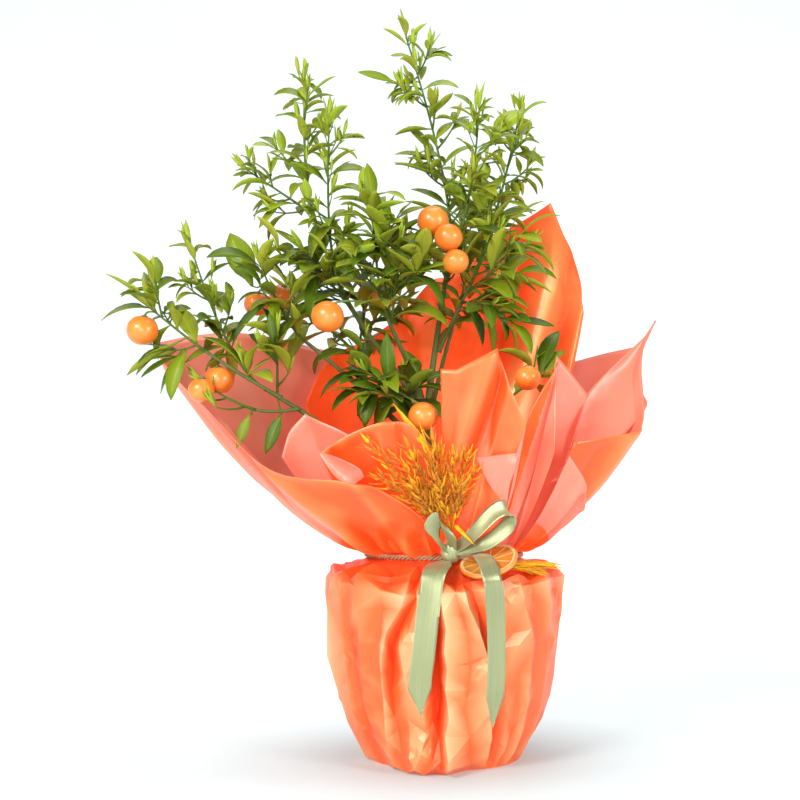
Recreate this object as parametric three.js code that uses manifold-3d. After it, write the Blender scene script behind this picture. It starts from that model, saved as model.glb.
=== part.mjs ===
// A calamondin orange tree in a pot that is dressed as a gift: paper round the pot, tied at
// the neck with twine and a ribbon bow, and sheets of two-sided paper that flare round the stems.
// Millimetres, +Z up. The origin is the middle of the flat underside; -Y is the side of the bow.
import * as THREE from "three";
import { mergeVertices } from "three/addons/utils/BufferGeometryUtils.js";
import Module from "manifold-3d";

const wasm = await Module();
wasm.setup();

// ---------------------------------------------------------------- driving sizes
const CLEAR = 0.3; // gap that touching pieces keep
const POT = { foot: 66, rim: 94, height: 145, wall: 2.5, rounds: 24 };
const SOIL_TOP = 134;
const PAPER = 1.2; // thickness of a sheet of paper
const NECK = { radius: 66, height: 178, gather: 5 };
const SKIRT = { pleats: 9, pleatDepth: 2, lift: 6, liftBearing: 290, rounds: 36 };
const TWINE = { radius: 1.5, rounds: 24, sides: 4 };
const RIBBON = { width: 19, thickness: 1 };
const LEAF = { long: 58, young: 30, wide: 0.34, thick: 2.4 };
const FRUIT = { radius: 14, around: 7, rings: 5 };
const NODE_GAP = 21; // length of shoot between one leaf and the next
const GOLDEN = THREE.MathUtils.degToRad(137.5); // turn from one leaf to the next

// ---------------------------------------------------------------- colours
const finish = (color, roughness) => new THREE.MeshStandardMaterial({ color, roughness, metalness: 0 });
const ORANGE_PAPER = finish(0xfb6a35, 0.35);
const PINK_PAPER = finish(0xf08a74, 0.4);
const BARK = finish(0x6f6a4c, 0.8);
const GREEN_BARK = finish(0x4f7034, 0.7);
const FOLIAGE = finish(0x6c9a2c, 0.5);
const PLASTIC = finish(0x30302e, 0.6);
const COMPOST = finish(0x3b2a1d, 0.95);
const GREEN_RIBBON = finish(0x9fb383, 0.35);
const JUTE = finish(0x9c7a58, 0.9);
const STRAW = finish(0xd9970f, 0.8);
const DRY_SLICE = finish(0xd98a1e, 0.6);

// ---------------------------------------------------------------- solids and meshes
const vec = (p) => new THREE.Vector3(...p);

/** A closed three.js geometry as a manifold-3d solid. */
function solidOf(geometry) {
  const bare = new THREE.BufferGeometry();
  bare.setAttribute("position", geometry.getAttribute("position").clone());
  if (geometry.index) bare.setIndex(geometry.index.clone());
  const merged = mergeVertices(bare, 1e-4);
  const index = merged.index.array;
  const kept = [];
  for (let i = 0; i < index.length; i += 3) {
    const [a, b, c] = [index[i], index[i + 1], index[i + 2]];
    if (a !== b && b !== c && a !== c) kept.push(a, b, c);
  }
  return new wasm.Manifold(
    new wasm.Mesh({
      numProp: 3,
      vertProperties: new Float32Array(merged.getAttribute("position").array),
      triVerts: new Uint32Array(kept),
    }),
  );
}

/** The biggest of a solid's separate bodies. */
function biggest(solid) {
  return solid.decompose().reduce((a, b) => (b.volume() > a.volume() ? b : a));
}

/** A manifold-3d solid as a three.js geometry. */
function geometryOf(solid) {
  const { numProp, numVert, vertProperties, triVerts } = solid.getMesh();
  const position = new Float32Array(numVert * 3);
  for (let i = 0; i < numVert; i++) {
    position.set(vertProperties.subarray(i * numProp, i * numProp + 3), i * 3);
  }
  const geometry = new THREE.BufferGeometry();
  geometry.setAttribute("position", new THREE.BufferAttribute(position, 3));
  geometry.setIndex(new THREE.BufferAttribute(new Uint32Array(triVerts), 1));
  geometry.computeVertexNormals();
  return geometry;
}

const tree = new THREE.Group();
tree.name = "calamondin_orange_tree";
const placed = []; // every solid so far, with the space that it takes

/** Names a solid, adds its mesh to the tree and keeps it as an obstacle for the foliage. */
function add(name, solid, material) {
  const mesh = new THREE.Mesh(geometryOf(solid), material.clone());
  mesh.name = name;
  tree.add(mesh);
}

/** Keeps a solid in the list of what foliage has to stay clear of. */
function keepClearOf(owner, solid) {
  const { min, max } = solid.boundingBox();
  placed.push({ owner, solid, box: new THREE.Box3(vec(min), vec(max)) });
}

/** True where a solid touches nothing that another owner has placed. */
function isFree(owner, solid) {
  const { min, max } = solid.boundingBox();
  const box = new THREE.Box3(vec(min), vec(max));
  return placed.every(
    (p) => p.owner === owner || !p.box.intersectsBox(box) || p.solid.intersect(solid).isEmpty(),
  );
}

/** A repeatable stream of numbers from 0 to 1. */
function seeded(seed) {
  let a = seed * 2654435761;
  return () => {
    a = (a + 0x6d2b79f5) | 0;
    let t = Math.imul(a ^ (a >>> 15), 1 | a);
    t = (t + Math.imul(t ^ (t >>> 7), 61 | t)) ^ t;
    return ((t ^ (t >>> 14)) >>> 0) / 4294967296;
  };
}

/** Moves each vertex of a geometry by a function of its position. */
function reshape(geometry, move) {
  const position = geometry.getAttribute("position");
  const p = new THREE.Vector3();
  for (let i = 0; i < position.count; i++) {
    const q = move(p.fromBufferAttribute(position, i), i);
    position.setXYZ(i, q.x, q.y, q.z);
  }
  return geometry;
}

/** A round limb along a curve: a cylinder bent onto it, with its radius from a function of 0 to 1. */
function limbGeometry(curve, radiusAt, sides, steps) {
  const frames = curve.computeFrenetFrames(steps, false);
  return reshape(new THREE.CylinderGeometry(1, 1, 1, sides, steps), (p) => {
    const t = p.y + 0.5;
    const k = Math.round(t * steps);
    return curve
      .getPointAt(t)
      .addScaledVector(frames.normals[k], p.x * radiusAt(t))
      .addScaledVector(frames.binormals[k], -p.z * radiusAt(t));
  });
}

/** A flat band along a curve; side(t) is the direction of its width and width(t) the width. */
function bandGeometry(curve, side, width, thickness, steps) {
  return reshape(new THREE.BoxGeometry(1, 1, 1, 1, steps, 1), (p) => {
    const t = p.y + 0.5;
    const across = side(t).normalize();
    const through = across.clone().cross(curve.getTangentAt(t)).normalize();
    return curve
      .getPointAt(t)
      .addScaledVector(across, p.x * width(t))
      .addScaledVector(through, p.z * thickness);
  });
}

// ---------------------------------------------------------------- pot and compost
/** A round shape from its half section, on the Z axis. */
function turned(profile, rounds) {
  const points = profile.map(([r, z]) => new THREE.Vector2(r, z));
  return new THREE.LatheGeometry(points, rounds).rotateX(Math.PI / 2);
}

function buildPot() {
  const floor = PAPER + CLEAR;
  const inner = (r) => r - POT.wall;
  const profile = [
    [0, floor],
    [POT.foot, floor],
    [POT.rim - 3, POT.height - 14],
    [POT.rim, POT.height - 13],
    [POT.rim, POT.height],
    [inner(POT.rim), POT.height],
    [inner(POT.rim) - 3, POT.height - 13],
    [inner(POT.foot), floor + POT.wall],
    [0, floor + POT.wall],
  ];
  add("pot", solidOf(turned(profile, POT.rounds)), PLASTIC);

  const slope = (POT.rim - POT.foot - 3) / (POT.height - 14 - floor);
  const soilFloor = floor + POT.wall + CLEAR;
  const radiusAt = (z) => POT.foot + (z - floor) * slope - POT.wall - 0.8;
  const soil = [
    [0, soilFloor],
    [radiusAt(soilFloor) - 1, soilFloor],
    [radiusAt(SOIL_TOP - 6), SOIL_TOP - 6],
    [radiusAt(SOIL_TOP - 6) * 0.7, SOIL_TOP],
    [0, SOIL_TOP],
  ];
  add("soil", solidOf(turned(soil, POT.rounds)), COMPOST);
}

// ---------------------------------------------------------------- paper round the pot
// The paper from foot to neck and back inside: radius, height, and its share of the lift that
// the rim has on the side of the bow.
const SKIRT_OUTSIDE = [
  [70, 0, 0],
  [80, 5, 0],
  [88, 27, 0],
  [99, 90, 0.2],
  [103, 128, 0.6],
  [102.5, 147, 1],
  [96, 158, 1],
  [NECK.radius, 173, 0],
  [NECK.radius, NECK.height, 0],
];
const SKIRT_INSIDE = [
  [NECK.radius - NECK.gather, NECK.height, 0],
  [NECK.radius - NECK.gather, 171, 0],
  [95, 156.2, 1],
  [101.2, 146, 1],
  [101.6, 128, 0.6],
  [86.5, 28, 0],
  [70, PAPER, 0],
];

/** How far a pleat moves the paper at an angle: sharp folds out, wide valleys between. */
function pleat(angle, z) {
  const squeeze = THREE.MathUtils.smoothstep(NECK.height - z, 8, 40);
  const wave = Math.abs(Math.sin((SKIRT.pleats / 2) * angle + 0.5 * Math.sin(3 * angle)));
  return SKIRT.pleatDepth * squeeze * (1 - 1.8 * (1 - wave) ** 2);
}

function buildSkirt() {
  const profile = [[0, 0, 0], ...SKIRT_OUTSIDE, ...SKIRT_INSIDE, [0, PAPER, 0]];
  const highest = THREE.MathUtils.degToRad(SKIRT.liftBearing);
  const skirt = reshape(turned(profile, SKIRT.rounds), (p, i) => {
    const r = Math.hypot(p.x, p.y);
    if (r < 1) return p;
    const angle = Math.atan2(p.y, p.x);
    const k = (r + pleat(angle, p.z)) / r;
    const lift = SKIRT.lift * Math.cos(angle - highest) * profile[i % profile.length][2];
    return p.set(p.x * k, p.y * k, p.z + lift);
  });
  const solid = solidOf(skirt);
  add("wrap_skirt", solid, ORANGE_PAPER);
  keepClearOf("wrap", solid);
}

// ---------------------------------------------------------------- flared sheets of paper
// Each sheet leaves the neck along an arc and fans out in ribs. A rib is
// [bearing in degrees, reach from the pot's axis, height], and ribs go anticlockwise seen from above:
// 0 is +X, 90 the back, 180 the left and 270 the front. Layer 0 is the outermost at the neck.
const SHEETS = {
  wrap_left: {
    layer: 0,
    neck: [122, 243],
    ribs: [
      [126, 168, 371],
      [150, 201, 385],
      [166, 230, 381],
      [180, 261, 366],
      [199, 214, 303],
      [216, 178, 251],
      [234, 146, 241],
      [241, 135, 237],
    ],
    paper: PINK_PAPER,
  },
  wrap_left_inner: {
    layer: 2,
    neck: [203, 233],
    ribs: [
      [203, 152, 261],
      [204, 146, 282],
      [207, 134, 298],
      [224, 116, 278],
      [233, 111, 251],
    ],
    paper: PINK_PAPER,
  },
  wrap_front_left: {
    layer: 1,
    neck: [224, 262],
    ribs: [
      [225, 148, 263],
      [232, 136, 277],
      [244, 125, 288],
      [253, 113, 288],
    ],
    paper: ORANGE_PAPER,
  },
  wrap_front_right: {
    layer: 0,
    neck: [265, 304],
    ribs: [
      [267, 104, 332],
      [274, 108, 331],
      [291, 113, 349],
      [296, 113, 322],
      [301, 115, 299],
      [304, 115, 284],
      [302, 110, 263],
    ],
    paper: ORANGE_PAPER,
  },
  wrap_right_front: {
    layer: 1,
    neck: [307, 322],
    ribs: [
      [306, 102, 249],
      [311, 103, 291],
      [318, 107, 315],
      [327, 114, 343],
      [324, 118, 314],
      [318, 121, 264],
    ],
    paper: PINK_PAPER,
  },
  wrap_right_mid: {
    layer: 2,
    neck: [329, 350],
    ribs: [
      [335, 106, 349],
      [339, 113, 339],
      [347, 129, 315],
      [342, 122, 285],
    ],
    paper: PINK_PAPER,
  },
  wrap_right: {
    layer: 1,
    neck: [325, 367],
    ribs: [
      [325, 131, 273],
      [336, 150, 278],
      [348, 174, 286],
      [355, 178, 306],
      [362, 180, 357],
      [367, 198, 389],
    ],
    paper: PINK_PAPER,
  },
  wrap_right_low: {
    layer: 0,
    neck: [322, 342],
    ribs: [
      [320, 132, 262],
      [329, 136, 239],
      [335, 130, 217],
    ],
    paper: PINK_PAPER,
  },
  wrap_back_pink: {
    layer: 0,
    neck: [370, 404],
    ribs: [
      [370, 180, 325],
      [377, 192, 368],
      [389, 178, 364],
      [404, 180, 360],
    ],
    paper: PINK_PAPER,
  },
  wrap_back_right: {
    layer: 1,
    neck: [38, 96],
    ribs: [
      [35, 154, 373],
      [34, 168, 421],
      [38, 168, 463],
      [42, 167, 487],
      [48, 169, 522],
      [63, 160, 500],
      [78, 156, 484],
      [90, 150, 437],
    ],
    paper: ORANGE_PAPER,
  },
  wrap_back_left: {
    layer: 2,
    neck: [88, 155],
    ribs: [
      [88, 134, 448],
      [94, 136, 442],
      [108, 139, 405],
      [123, 144, 380],
      [137, 146, 362],
      [155, 141, 314],
    ],
    paper: ORANGE_PAPER,
  },
};
const SHEET_GAP = 1.1; // between the feet of two layers
const FLARE = { reach: 0.81, rise: 1.3 }; // paper goes out first and then turns up
const SHEET_STEPS = 5; // from the neck to the free edge

/** A point of a sheet: u runs across its ribs from 0 to 1, v from the neck to the free edge. */
function sheetPoint(sheet, u, v) {
  const { ribs, neck, layer } = sheet;
  const at = THREE.MathUtils.clamp(u, 0, 1) * (ribs.length - 1);
  const i = Math.min(Math.floor(at), ribs.length - 2);
  const rib = ribs[i].map((a, k) => THREE.MathUtils.lerp(a, ribs[i + 1][k], at - i));
  const neckRadius = NECK.radius - PAPER / 2 - layer * (PAPER + SHEET_GAP);
  const bearing = THREE.MathUtils.degToRad(
    THREE.MathUtils.lerp(THREE.MathUtils.lerp(...neck, u), rib[0], Math.min(1, 1.6 * v)),
  );
  const reach = neckRadius + (rib[1] - neckRadius) * v ** FLARE.reach;
  const foot = NECK.height + CLEAR;
  const height = foot + (rib[2] - foot) * v ** FLARE.rise;
  return new THREE.Vector3(reach * Math.cos(bearing), reach * Math.sin(bearing), height);
}

/** A sheet as a thin closed solid, its middle on the sheet's surface. */
function sheetSolid(sheet) {
  const across = sheet.ribs.length - 1;
  const step = 0.01;
  const box = new THREE.BoxGeometry(1, 1, 1, across, SHEET_STEPS, 1);
  return solidOf(
    reshape(box, (p) => {
      const [u, v] = [p.x + 0.5, p.y + 0.5];
      const point = sheetPoint(sheet, u, v);
      const du = sheetPoint(sheet, Math.min(1, u + step), v).sub(
        sheetPoint(sheet, Math.max(0, u - step), v),
      );
      const dv = sheetPoint(sheet, u, Math.min(1, v + step)).sub(
        sheetPoint(sheet, u, Math.max(0, v - step)),
      );
      const out = du.cross(dv).normalize();
      if (v < 1e-6) out.setZ(0).normalize(); // the foot stays level on the neck
      return point.addScaledVector(out, p.z * PAPER);
    }),
  );
}

function buildSheets() {
  for (const [name, sheet] of Object.entries(SHEETS)) {
    const solid = sheetSolid(sheet);
    add(name, solid, sheet.paper);
    keepClearOf("wrap", solid);
  }
}

// ---------------------------------------------------------------- trunk and boughs
// A limb runs from one place to another through a middle point, and tapers.
const TRUNK = {
  points: [
    [0, 0, SOIL_TOP + CLEAR],
    [-4, 0, 190],
    [-16, 0, 290],
    [-28, 0, 344],
  ],
  foot: 12.5,
  low: 7.5,
  top: 4.2,
  sides: 9,
  steps: 9,
};
const BOUGHS = {
  bough_left_low: {
    radius: [4.2, 2.6],
    points: [[-6, 0, 222], [-104, -44, 290], [-156, -48, 320]],
  },
  bough_far_left: {
    radius: [2.4, 1.9],
    points: [[-141, -46, 312], [-174, -58, 330], [-205, -62, 351]],
  },
  bough_low_left: {
    radius: [2, 1.7],
    points: [[-126, -46, 303], [-146, -56, 298], [-162, -60, 301]],
  },
  bough_left_mid: {
    radius: [3.4, 2.2],
    points: [[-12, 0, 264], [-72, -20, 324], [-124, -22, 365]],
  },
  bough_left_up: {
    radius: [3.6, 2.4],
    points: [[-21, 0, 311], [-58, 8, 358], [-88, 8, 405]],
  },
  bough_shoulder: {
    radius: [2.2, 1.8],
    points: [[-74, 8, 383], [-104, 28, 432], [-120, 5, 492]],
  },
  bough_centre: {
    radius: [3, 2.2],
    points: [[-27, 0, 338], [-40, -14, 362], [-50, -22, 385]],
  },
  bough_right: {
    radius: [3.8, 2.4],
    points: [[-16, 0, 293], [-6, 8, 374], [6, 10, 444]],
  },
  bough_right_side: {
    radius: [2.6, 1.9],
    points: [[-4, 6, 358], [10, -6, 388], [24, -14, 416]],
  },
  bough_right_low: {
    radius: [2.8, 1.9],
    points: [[-8, 0, 238], [28, -20, 280], [56, -24, 312]],
  },
  bough_back_left: {
    radius: [3.2, 2.1],
    points: [[-13, 0, 272], [-48, 38, 320], [-85, 72, 367]],
  },
  bough_back_right: {
    radius: [3.2, 2.1],
    points: [[-15, 0, 284], [-4, 40, 336], [11, 75, 386]],
  },
};
const BOUGH_SIDES = 5;
const BOUGH_STEPS = 4;
const limbs = {}; // name: { curve, radiusAt }

/** The limb's solid with every radius grown by some amount. */
function limbSolid({ curve, radiusAt, sides, steps }, grown = 0) {
  return solidOf(limbGeometry(curve, (t) => radiusAt(t) + grown, sides, steps));
}

function buildTrunk() {
  const limb = {
    curve: new THREE.CatmullRomCurve3(TRUNK.points.map(vec)),
    radiusAt: (t) =>
      THREE.MathUtils.lerp(TRUNK.low, TRUNK.top, t) + (TRUNK.foot - TRUNK.low) * Math.exp(-t * 22),
    sides: TRUNK.sides,
    steps: TRUNK.steps,
  };
  limbs.trunk = limb;
  const under = new THREE.BoxGeometry(60, 60, 60).translate(0, 0, SOIL_TOP + CLEAR - 30);
  const solid = biggest(limbSolid(limb).subtract(solidOf(under))); // a flat cut at the ground
  add("trunk", solid, BARK);
  keepClearOf("trunk", solid);
}

function buildBoughs() {
  const { sides, steps } = { sides: BOUGH_SIDES, steps: BOUGH_STEPS };
  for (const [name, { points, radius }] of Object.entries(BOUGHS)) {
    const curve = new THREE.QuadraticBezierCurve3(...points.map(vec));
    const limb = { curve, radiusAt: (t) => THREE.MathUtils.lerp(...radius, t), sides, steps };
    const parents = Object.values(limbs).map((parent) => limbSolid(parent, CLEAR));
    const solid = biggest(limbSolid(limb).subtract(wasm.Manifold.union(parents)));
    limbs[name] = limb;
    add(name, solid, GREEN_BARK);
    keepClearOf(name, solid);
  }
}

// ---------------------------------------------------------------- foliage
// A spray is a leafy shoot: its stem starts at the tip of a bough and ends at an apex, and its
// twigs and leaves keep within a reach of that stem. A spire's leaves get small towards the apex.
const SPRAYS = {
  spray_far_left: { bough: "bough_far_left", apex: [-277, -64, 407], reach: 44 },
  spray_low_left: { bough: "bough_low_left", apex: [-230, -66, 334], reach: 40 },
  spray_left_spire: { bough: "bough_left_low", apex: [-234, -34, 467], reach: 40, spire: true },
  spray_left_inner: { bough: "bough_left_low", at: 0.93, apex: [-144, -64, 392], reach: 34 },
  spray_left_mid: { bough: "bough_left_mid", apex: [-176, -44, 454], reach: 46, dense: true },
  spray_mid_left: { bough: "bough_left_up", at: 0.92, apex: [-142, -30, 466], reach: 46, dense: true },
  spray_column: { bough: "bough_left_up", apex: [-104, -40, 578], reach: 50, spire: true },
  spray_shoulder: { bough: "bough_shoulder", at: 0.93, apex: [-198, 24, 541], reach: 34, spire: true },
  spray_top_left: { bough: "bough_shoulder", apex: [-130, 36, 642], reach: 46, spire: true },
  spray_centre: { bough: "bough_centre", apex: [-68, -26, 505], reach: 54, dense: true },
  spray_centre_right: { bough: "bough_centre", at: 0.86, apex: [-36, -64, 468], reach: 50, dense: true },
  spray_leader: { bough: "bough_right", apex: [-38, 4, 673], reach: 48, spire: true },
  spray_right_crown: {
    bough: "bough_right",
    at: 0.8,
    apex: [35, -44, 590],
    reach: 54,
    spire: true,
    bow: [12, -14, 0],
  },
  spray_right_top: { bough: "bough_right_side", apex: [81, 44, 612], reach: 50, spire: true },
  spray_right_side: {
    bough: "bough_right_side",
    at: 0.88,
    apex: [90, -48, 460],
    reach: 50,
    dense: true,
  },
  spray_mid_right: { bough: "bough_right_side", at: 0.74, apex: [58, -64, 390], reach: 48 },
  spray_low_centre: { bough: "trunk", at: 0.8, apex: [-86, -70, 346], reach: 52, dense: true },
  spray_right_low: { bough: "bough_right_low", apex: [113, -20, 352], reach: 42 },
  spray_back_left: { bough: "bough_back_left", apex: [-176, 110, 440], reach: 60 },
  spray_back_centre: { bough: "bough_back_left", at: 0.93, apex: [-60, 112, 492], reach: 62 },
  spray_back_right: { bough: "bough_back_right", apex: [48, 104, 520], reach: 62 },
};
const STEM = { foot: 2, tip: 1.1, steps: 4 };
const STALK = { foot: 1, tip: 0.9, steps: 2 };
const TWIG = { foot: 1.3, tip: 0.9, swell: 0.12 };

/** One leaf as four faces: folded across its arched middle above, and keeled below. */
function leafSolid(base, along, up, length, grown = 0) {
  const y = along.clone().normalize();
  const x = y.clone().cross(up).normalize();
  const z = x.clone().cross(y);
  const half = (length * LEAF.wide) / 2 + grown;
  const leaf = reshape(new THREE.TetrahedronGeometry(Math.sqrt(3)), (p) => {
    if (p.z < 0) return new THREE.Vector3(p.x * half, 0.45 * length, LEAF.thick + grown);
    return new THREE.Vector3(0, p.x > 0 ? -grown : length + grown, -grown);
  });
  leaf.applyMatrix4(new THREE.Matrix4().makeBasis(x, y, z).setPosition(base));
  return solidOf(leaf);
}

/** A three-sided shoot that tapers from foot to tip. */
function shootSolid(curve, { foot, tip, steps }) {
  return solidOf(limbGeometry(curve, (t) => THREE.MathUtils.lerp(foot, tip, t), 3, steps));
}

/** A straight twig: it starts as a point in the middle of its stem and is thickest a little way out. */
function twigSolid(curve, grown = 0) {
  const radiusAt = (t) => (t < 0.01 ? 0 : THREE.MathUtils.lerp(TWIG.foot, TWIG.tip, t) + grown);
  const geometry = new THREE.CylinderGeometry(1, 1, 1, 3, 2);
  reshape(geometry, (p) => p.setY(Math.abs(p.y) < 0.1 ? -0.5 + TWIG.swell : p.y));
  const frames = curve.computeFrenetFrames(1, false);
  reshape(geometry, (p) => {
    const t = p.y + 0.5;
    return curve
      .getPointAt(t)
      .addScaledVector(frames.normals[0], p.x * radiusAt(t))
      .addScaledVector(frames.binormals[0], -p.z * radiusAt(t));
  });
  return solidOf(geometry);
}

/** A direction at right angles to a tangent, turned about it by an angle from straight up. */
function sideways(tangent, angle) {
  const reference = Math.abs(tangent.z) > 0.95 ? new THREE.Vector3(1, 0, 0) : new THREE.Vector3(0, 0, 1);
  const side = reference.addScaledVector(tangent, -reference.dot(tangent)).normalize();
  return side.applyAxisAngle(tangent, angle);
}

/** The stem of a spray: it goes on from its bough's tip, or leaves the bough's side, to near its apex. */
function sprayStem({ bough, at = 1, apex, spire, bow = [0, 0, 0] }) {
  const limb = limbs[bough].curve;
  const start = limb.getPointAt(at);
  const end = vec(apex);
  const direction = end.clone().sub(start).normalize();
  end.addScaledVector(direction, spire ? -0.8 * LEAF.young : -LEAF.young);
  const middle = start.clone().lerp(end, 0.5);
  if (at === 1) {
    start.addScaledVector(limb.getTangentAt(1), CLEAR);
    middle.copy(start).addScaledVector(limb.getTangentAt(1), 0.25 * start.distanceTo(end));
  }
  middle.add(vec(bow));
  return new THREE.QuadraticBezierCurve3(start, middle, end);
}

/** True where a point is within a spray's reach and nearer to its stem than to any other's. */
function isInSpace(name, point) {
  const near = (spray) => Math.min(...spray.line.map((q) => q.distanceTo(point)));
  const own = near(SPRAYS[name]);
  if (own > SPRAYS[name].reach) return false;
  return Object.entries(SPRAYS).every(([other, spray]) => other === name || near(spray) > own);
}

/** Twigs and leaves of one spray, by the seeded rule. Each piece is made again, grown, to test its room. */
function growSpray(name, spray, seed) {
  const random = seeded(seed);
  const { stem, spire, reach, dense } = spray;
  const nodes = Math.round(stem.getLength() / (dense ? 0.75 * NODE_GAP : NODE_GAP)) + 1;
  const up = new THREE.Vector3(0, 0, 1);
  const pieces = [];
  const place = (tip, make) => {
    if (!isInSpace(name, tip) || !isFree(name, make(CLEAR))) return false;
    pieces.push(make(0));
    return true;
  };
  const leaf = (base, heading, size, droop) => {
    const along = heading.clone().addScaledVector(up, -droop).normalize();
    place(base.clone().addScaledVector(along, 0.8 * size), (grown) =>
      leafSolid(base, along, up, size, grown),
    );
  };
  const sizeAt = (t) => {
    const young = spire ? t ** 0.8 : 0.35 * t;
    return THREE.MathUtils.lerp(LEAF.long, LEAF.young, young) * (0.85 + 0.3 * random());
  };
  const tuft = (curve, size, turn) => {
    for (let k = 0; k < 3; k++) {
      const t = 1 - (1 + 4 * k) / curve.getLength();
      const out = sideways(curve.getTangentAt(t), turn + (k * 2 * Math.PI) / 3);
      const along = curve.getTangentAt(t).multiplyScalar(0.8).addScaledVector(out, 0.6).normalize();
      leaf(curve.getPointAt(t), along, size, 0.05);
    }
  };

  for (let i = 1; i <= nodes; i++) {
    const t = i / (nodes + 0.6);
    const point = stem.getPointAt(t);
    const tangent = stem.getTangentAt(t);
    const turn = i * GOLDEN + seed + 0.5 * random();
    const size = sizeAt(t);
    const out = sideways(tangent, turn).addScaledVector(tangent, 0.55).normalize();
    leaf(stem.getPointAt(t + 0.01), out, size, 0.15 + 0.2 * random());

    if (t > 0.88) continue;
    const long = reach * (spire ? 0.62 - 0.3 * t : 0.6) * (0.75 + 0.4 * random());
    const lean = sideways(tangent, turn + 2.2).addScaledVector(tangent, 0.8 + 0.3 * random());
    const end = point.clone().addScaledVector(lean.normalize(), long);
    const twig = new THREE.LineCurve3(point, end);
    if (!place(end, (grown) => twigSolid(twig, grown))) continue;
    const off = sideways(lean, turn + 3).addScaledVector(lean, 0.7).normalize();
    leaf(twig.getPointAt(0.55), off, size * 0.9, 0.25);
    tuft(twig, size * (spire ? 0.75 : 0.9), turn);
  }
  tuft(stem, LEAF.young * (spire ? 1 : 1.3), 1);
  return pieces;
}

// Fruit hangs on a stalk from its own spray: its middle, and its share of the full radius.
const FRUITS = [
  { spray: "spray_far_left", at: [-259, -62, 369], size: 0.98 },
  { spray: "spray_low_left", at: [-196, -40, 338], size: 0.92 },
  { spray: "spray_low_left", at: [-206, -78, 322], size: 0.88 },
  { spray: "spray_left_mid", at: [-171, 20, 404], size: 0.85 },
  { spray: "spray_mid_left", at: [-150, 34, 413], size: 0.8 },
  { spray: "spray_centre", at: [-101, -60, 381], size: 1.02 },
  { spray: "spray_right_crown", at: [-10, -40, 468], size: 1 },
  { spray: "spray_right_crown", at: [3, -54, 449], size: 0.94 },
  { spray: "spray_low_centre", at: [-20, -86, 294], size: 0.92 },
  { spray: "spray_right_low", at: [72, -42, 330], size: 0.9 },
  { spray: "spray_back_left", at: [-112, 104, 396], size: 0.95 },
  { spray: "spray_back_centre", at: [-58, 130, 424], size: 1 },
  { spray: "spray_back_right", at: [58, 116, 446], size: 0.96 },
];

/** A fruit and its stalk, joined to the nearest place of its spray's stem. */
function fruitSolid({ spray, at, size }) {
  const radius = FRUIT.radius * size;
  const centre = vec(at);
  const nearer = (a, b) => (b.distanceTo(centre) < a.distanceTo(centre) ? b : a);
  const from = SPRAYS[spray].line.reduce(nearer);
  const high = centre.clone().lerp(from, 0.4);
  high.z = centre.z + 1.5 * radius;
  const stalk = new THREE.QuadraticBezierCurve3(from, high, centre);
  const ball = new THREE.SphereGeometry(radius, FRUIT.around, FRUIT.rings).rotateX(Math.PI / 2);
  return solidOf(ball.translate(...at)).add(shootSolid(stalk, STALK));
}

function buildFoliage() {
  const pieces = {};
  const allLimbs = wasm.Manifold.union(Object.values(limbs).map((limb) => limbSolid(limb, CLEAR)));
  for (const [name, spray] of Object.entries(SPRAYS)) {
    spray.stem = sprayStem(spray);
    spray.line = spray.stem.getSpacedPoints(24);
    pieces[name] = [biggest(shootSolid(spray.stem, STEM).subtract(allLimbs))];
  }
  for (const fruit of FRUITS) pieces[fruit.spray].push(fruitSolid(fruit));
  for (const [name, solids] of Object.entries(pieces)) {
    for (const solid of solids) keepClearOf(name, solid);
  }
  Object.entries(SPRAYS).forEach(([name, spray], i) => {
    const grown = growSpray(name, spray, i + 11);
    for (const piece of grown) keepClearOf(name, piece);
    add(name, biggest(wasm.Manifold.union([...pieces[name], ...grown])), FOLIAGE);
  });
}

// ---------------------------------------------------------------- trimmings at the neck
const KNOT = [4, -74.9, 180.8]; // middle of the ribbon's knot

function buildTwine() {
  const around = NECK.radius + TWINE.radius + 3 * CLEAR; // its facets dip inwards
  const ring = new THREE.TorusGeometry(around, TWINE.radius, TWINE.sides, TWINE.rounds);
  add("twine", solidOf(ring.translate(0, 0, NECK.height - TWINE.radius - 0.6)), JUTE);
}

const LOOPS = {
  left: {
    across: [0.9, 0.3, -0.35],
    points: [
      [2, -77, 183],
      [-9, -89, 191],
      [-14, -94, 202],
      [-5, -96, 211],
      [3, -92, 198],
      [6, -78, 184],
    ],
  },
  right: {
    across: [-0.45, 0.5, 0.75],
    points: [
      [6, -77, 183],
      [20, -90, 196],
      [38, -96, 215],
      [49, -99, 218],
      [50, -98, 206],
      [32, -92, 190],
      [8, -78, 181],
    ],
  },
};
const TAILS = {
  ribbon_tail_left: {
    across: [1, 0.12, 0],
    points: [
      [-0.6, -78.8, 174.7],
      [-6, -93, 172],
      [-12, -105.5, 164],
      [-16, -108, 138],
      [-20, -107, 102],
      [-23, -103, 76],
      [-22, -99, 52],
    ],
  },
  ribbon_tail_right: {
    across: [1, 0.38, 0],
    points: [
                              [12.6, -83.2, 177],
      [21.5, -99, 181],
      [29, -114, 178],
      [35, -123, 160],
      [38, -110, 134],
      [39, -104, 112],
      [39, -100, 84],
      [38, -96, 62],
      [36, -93, 40],
    ],
  },
};

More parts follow.
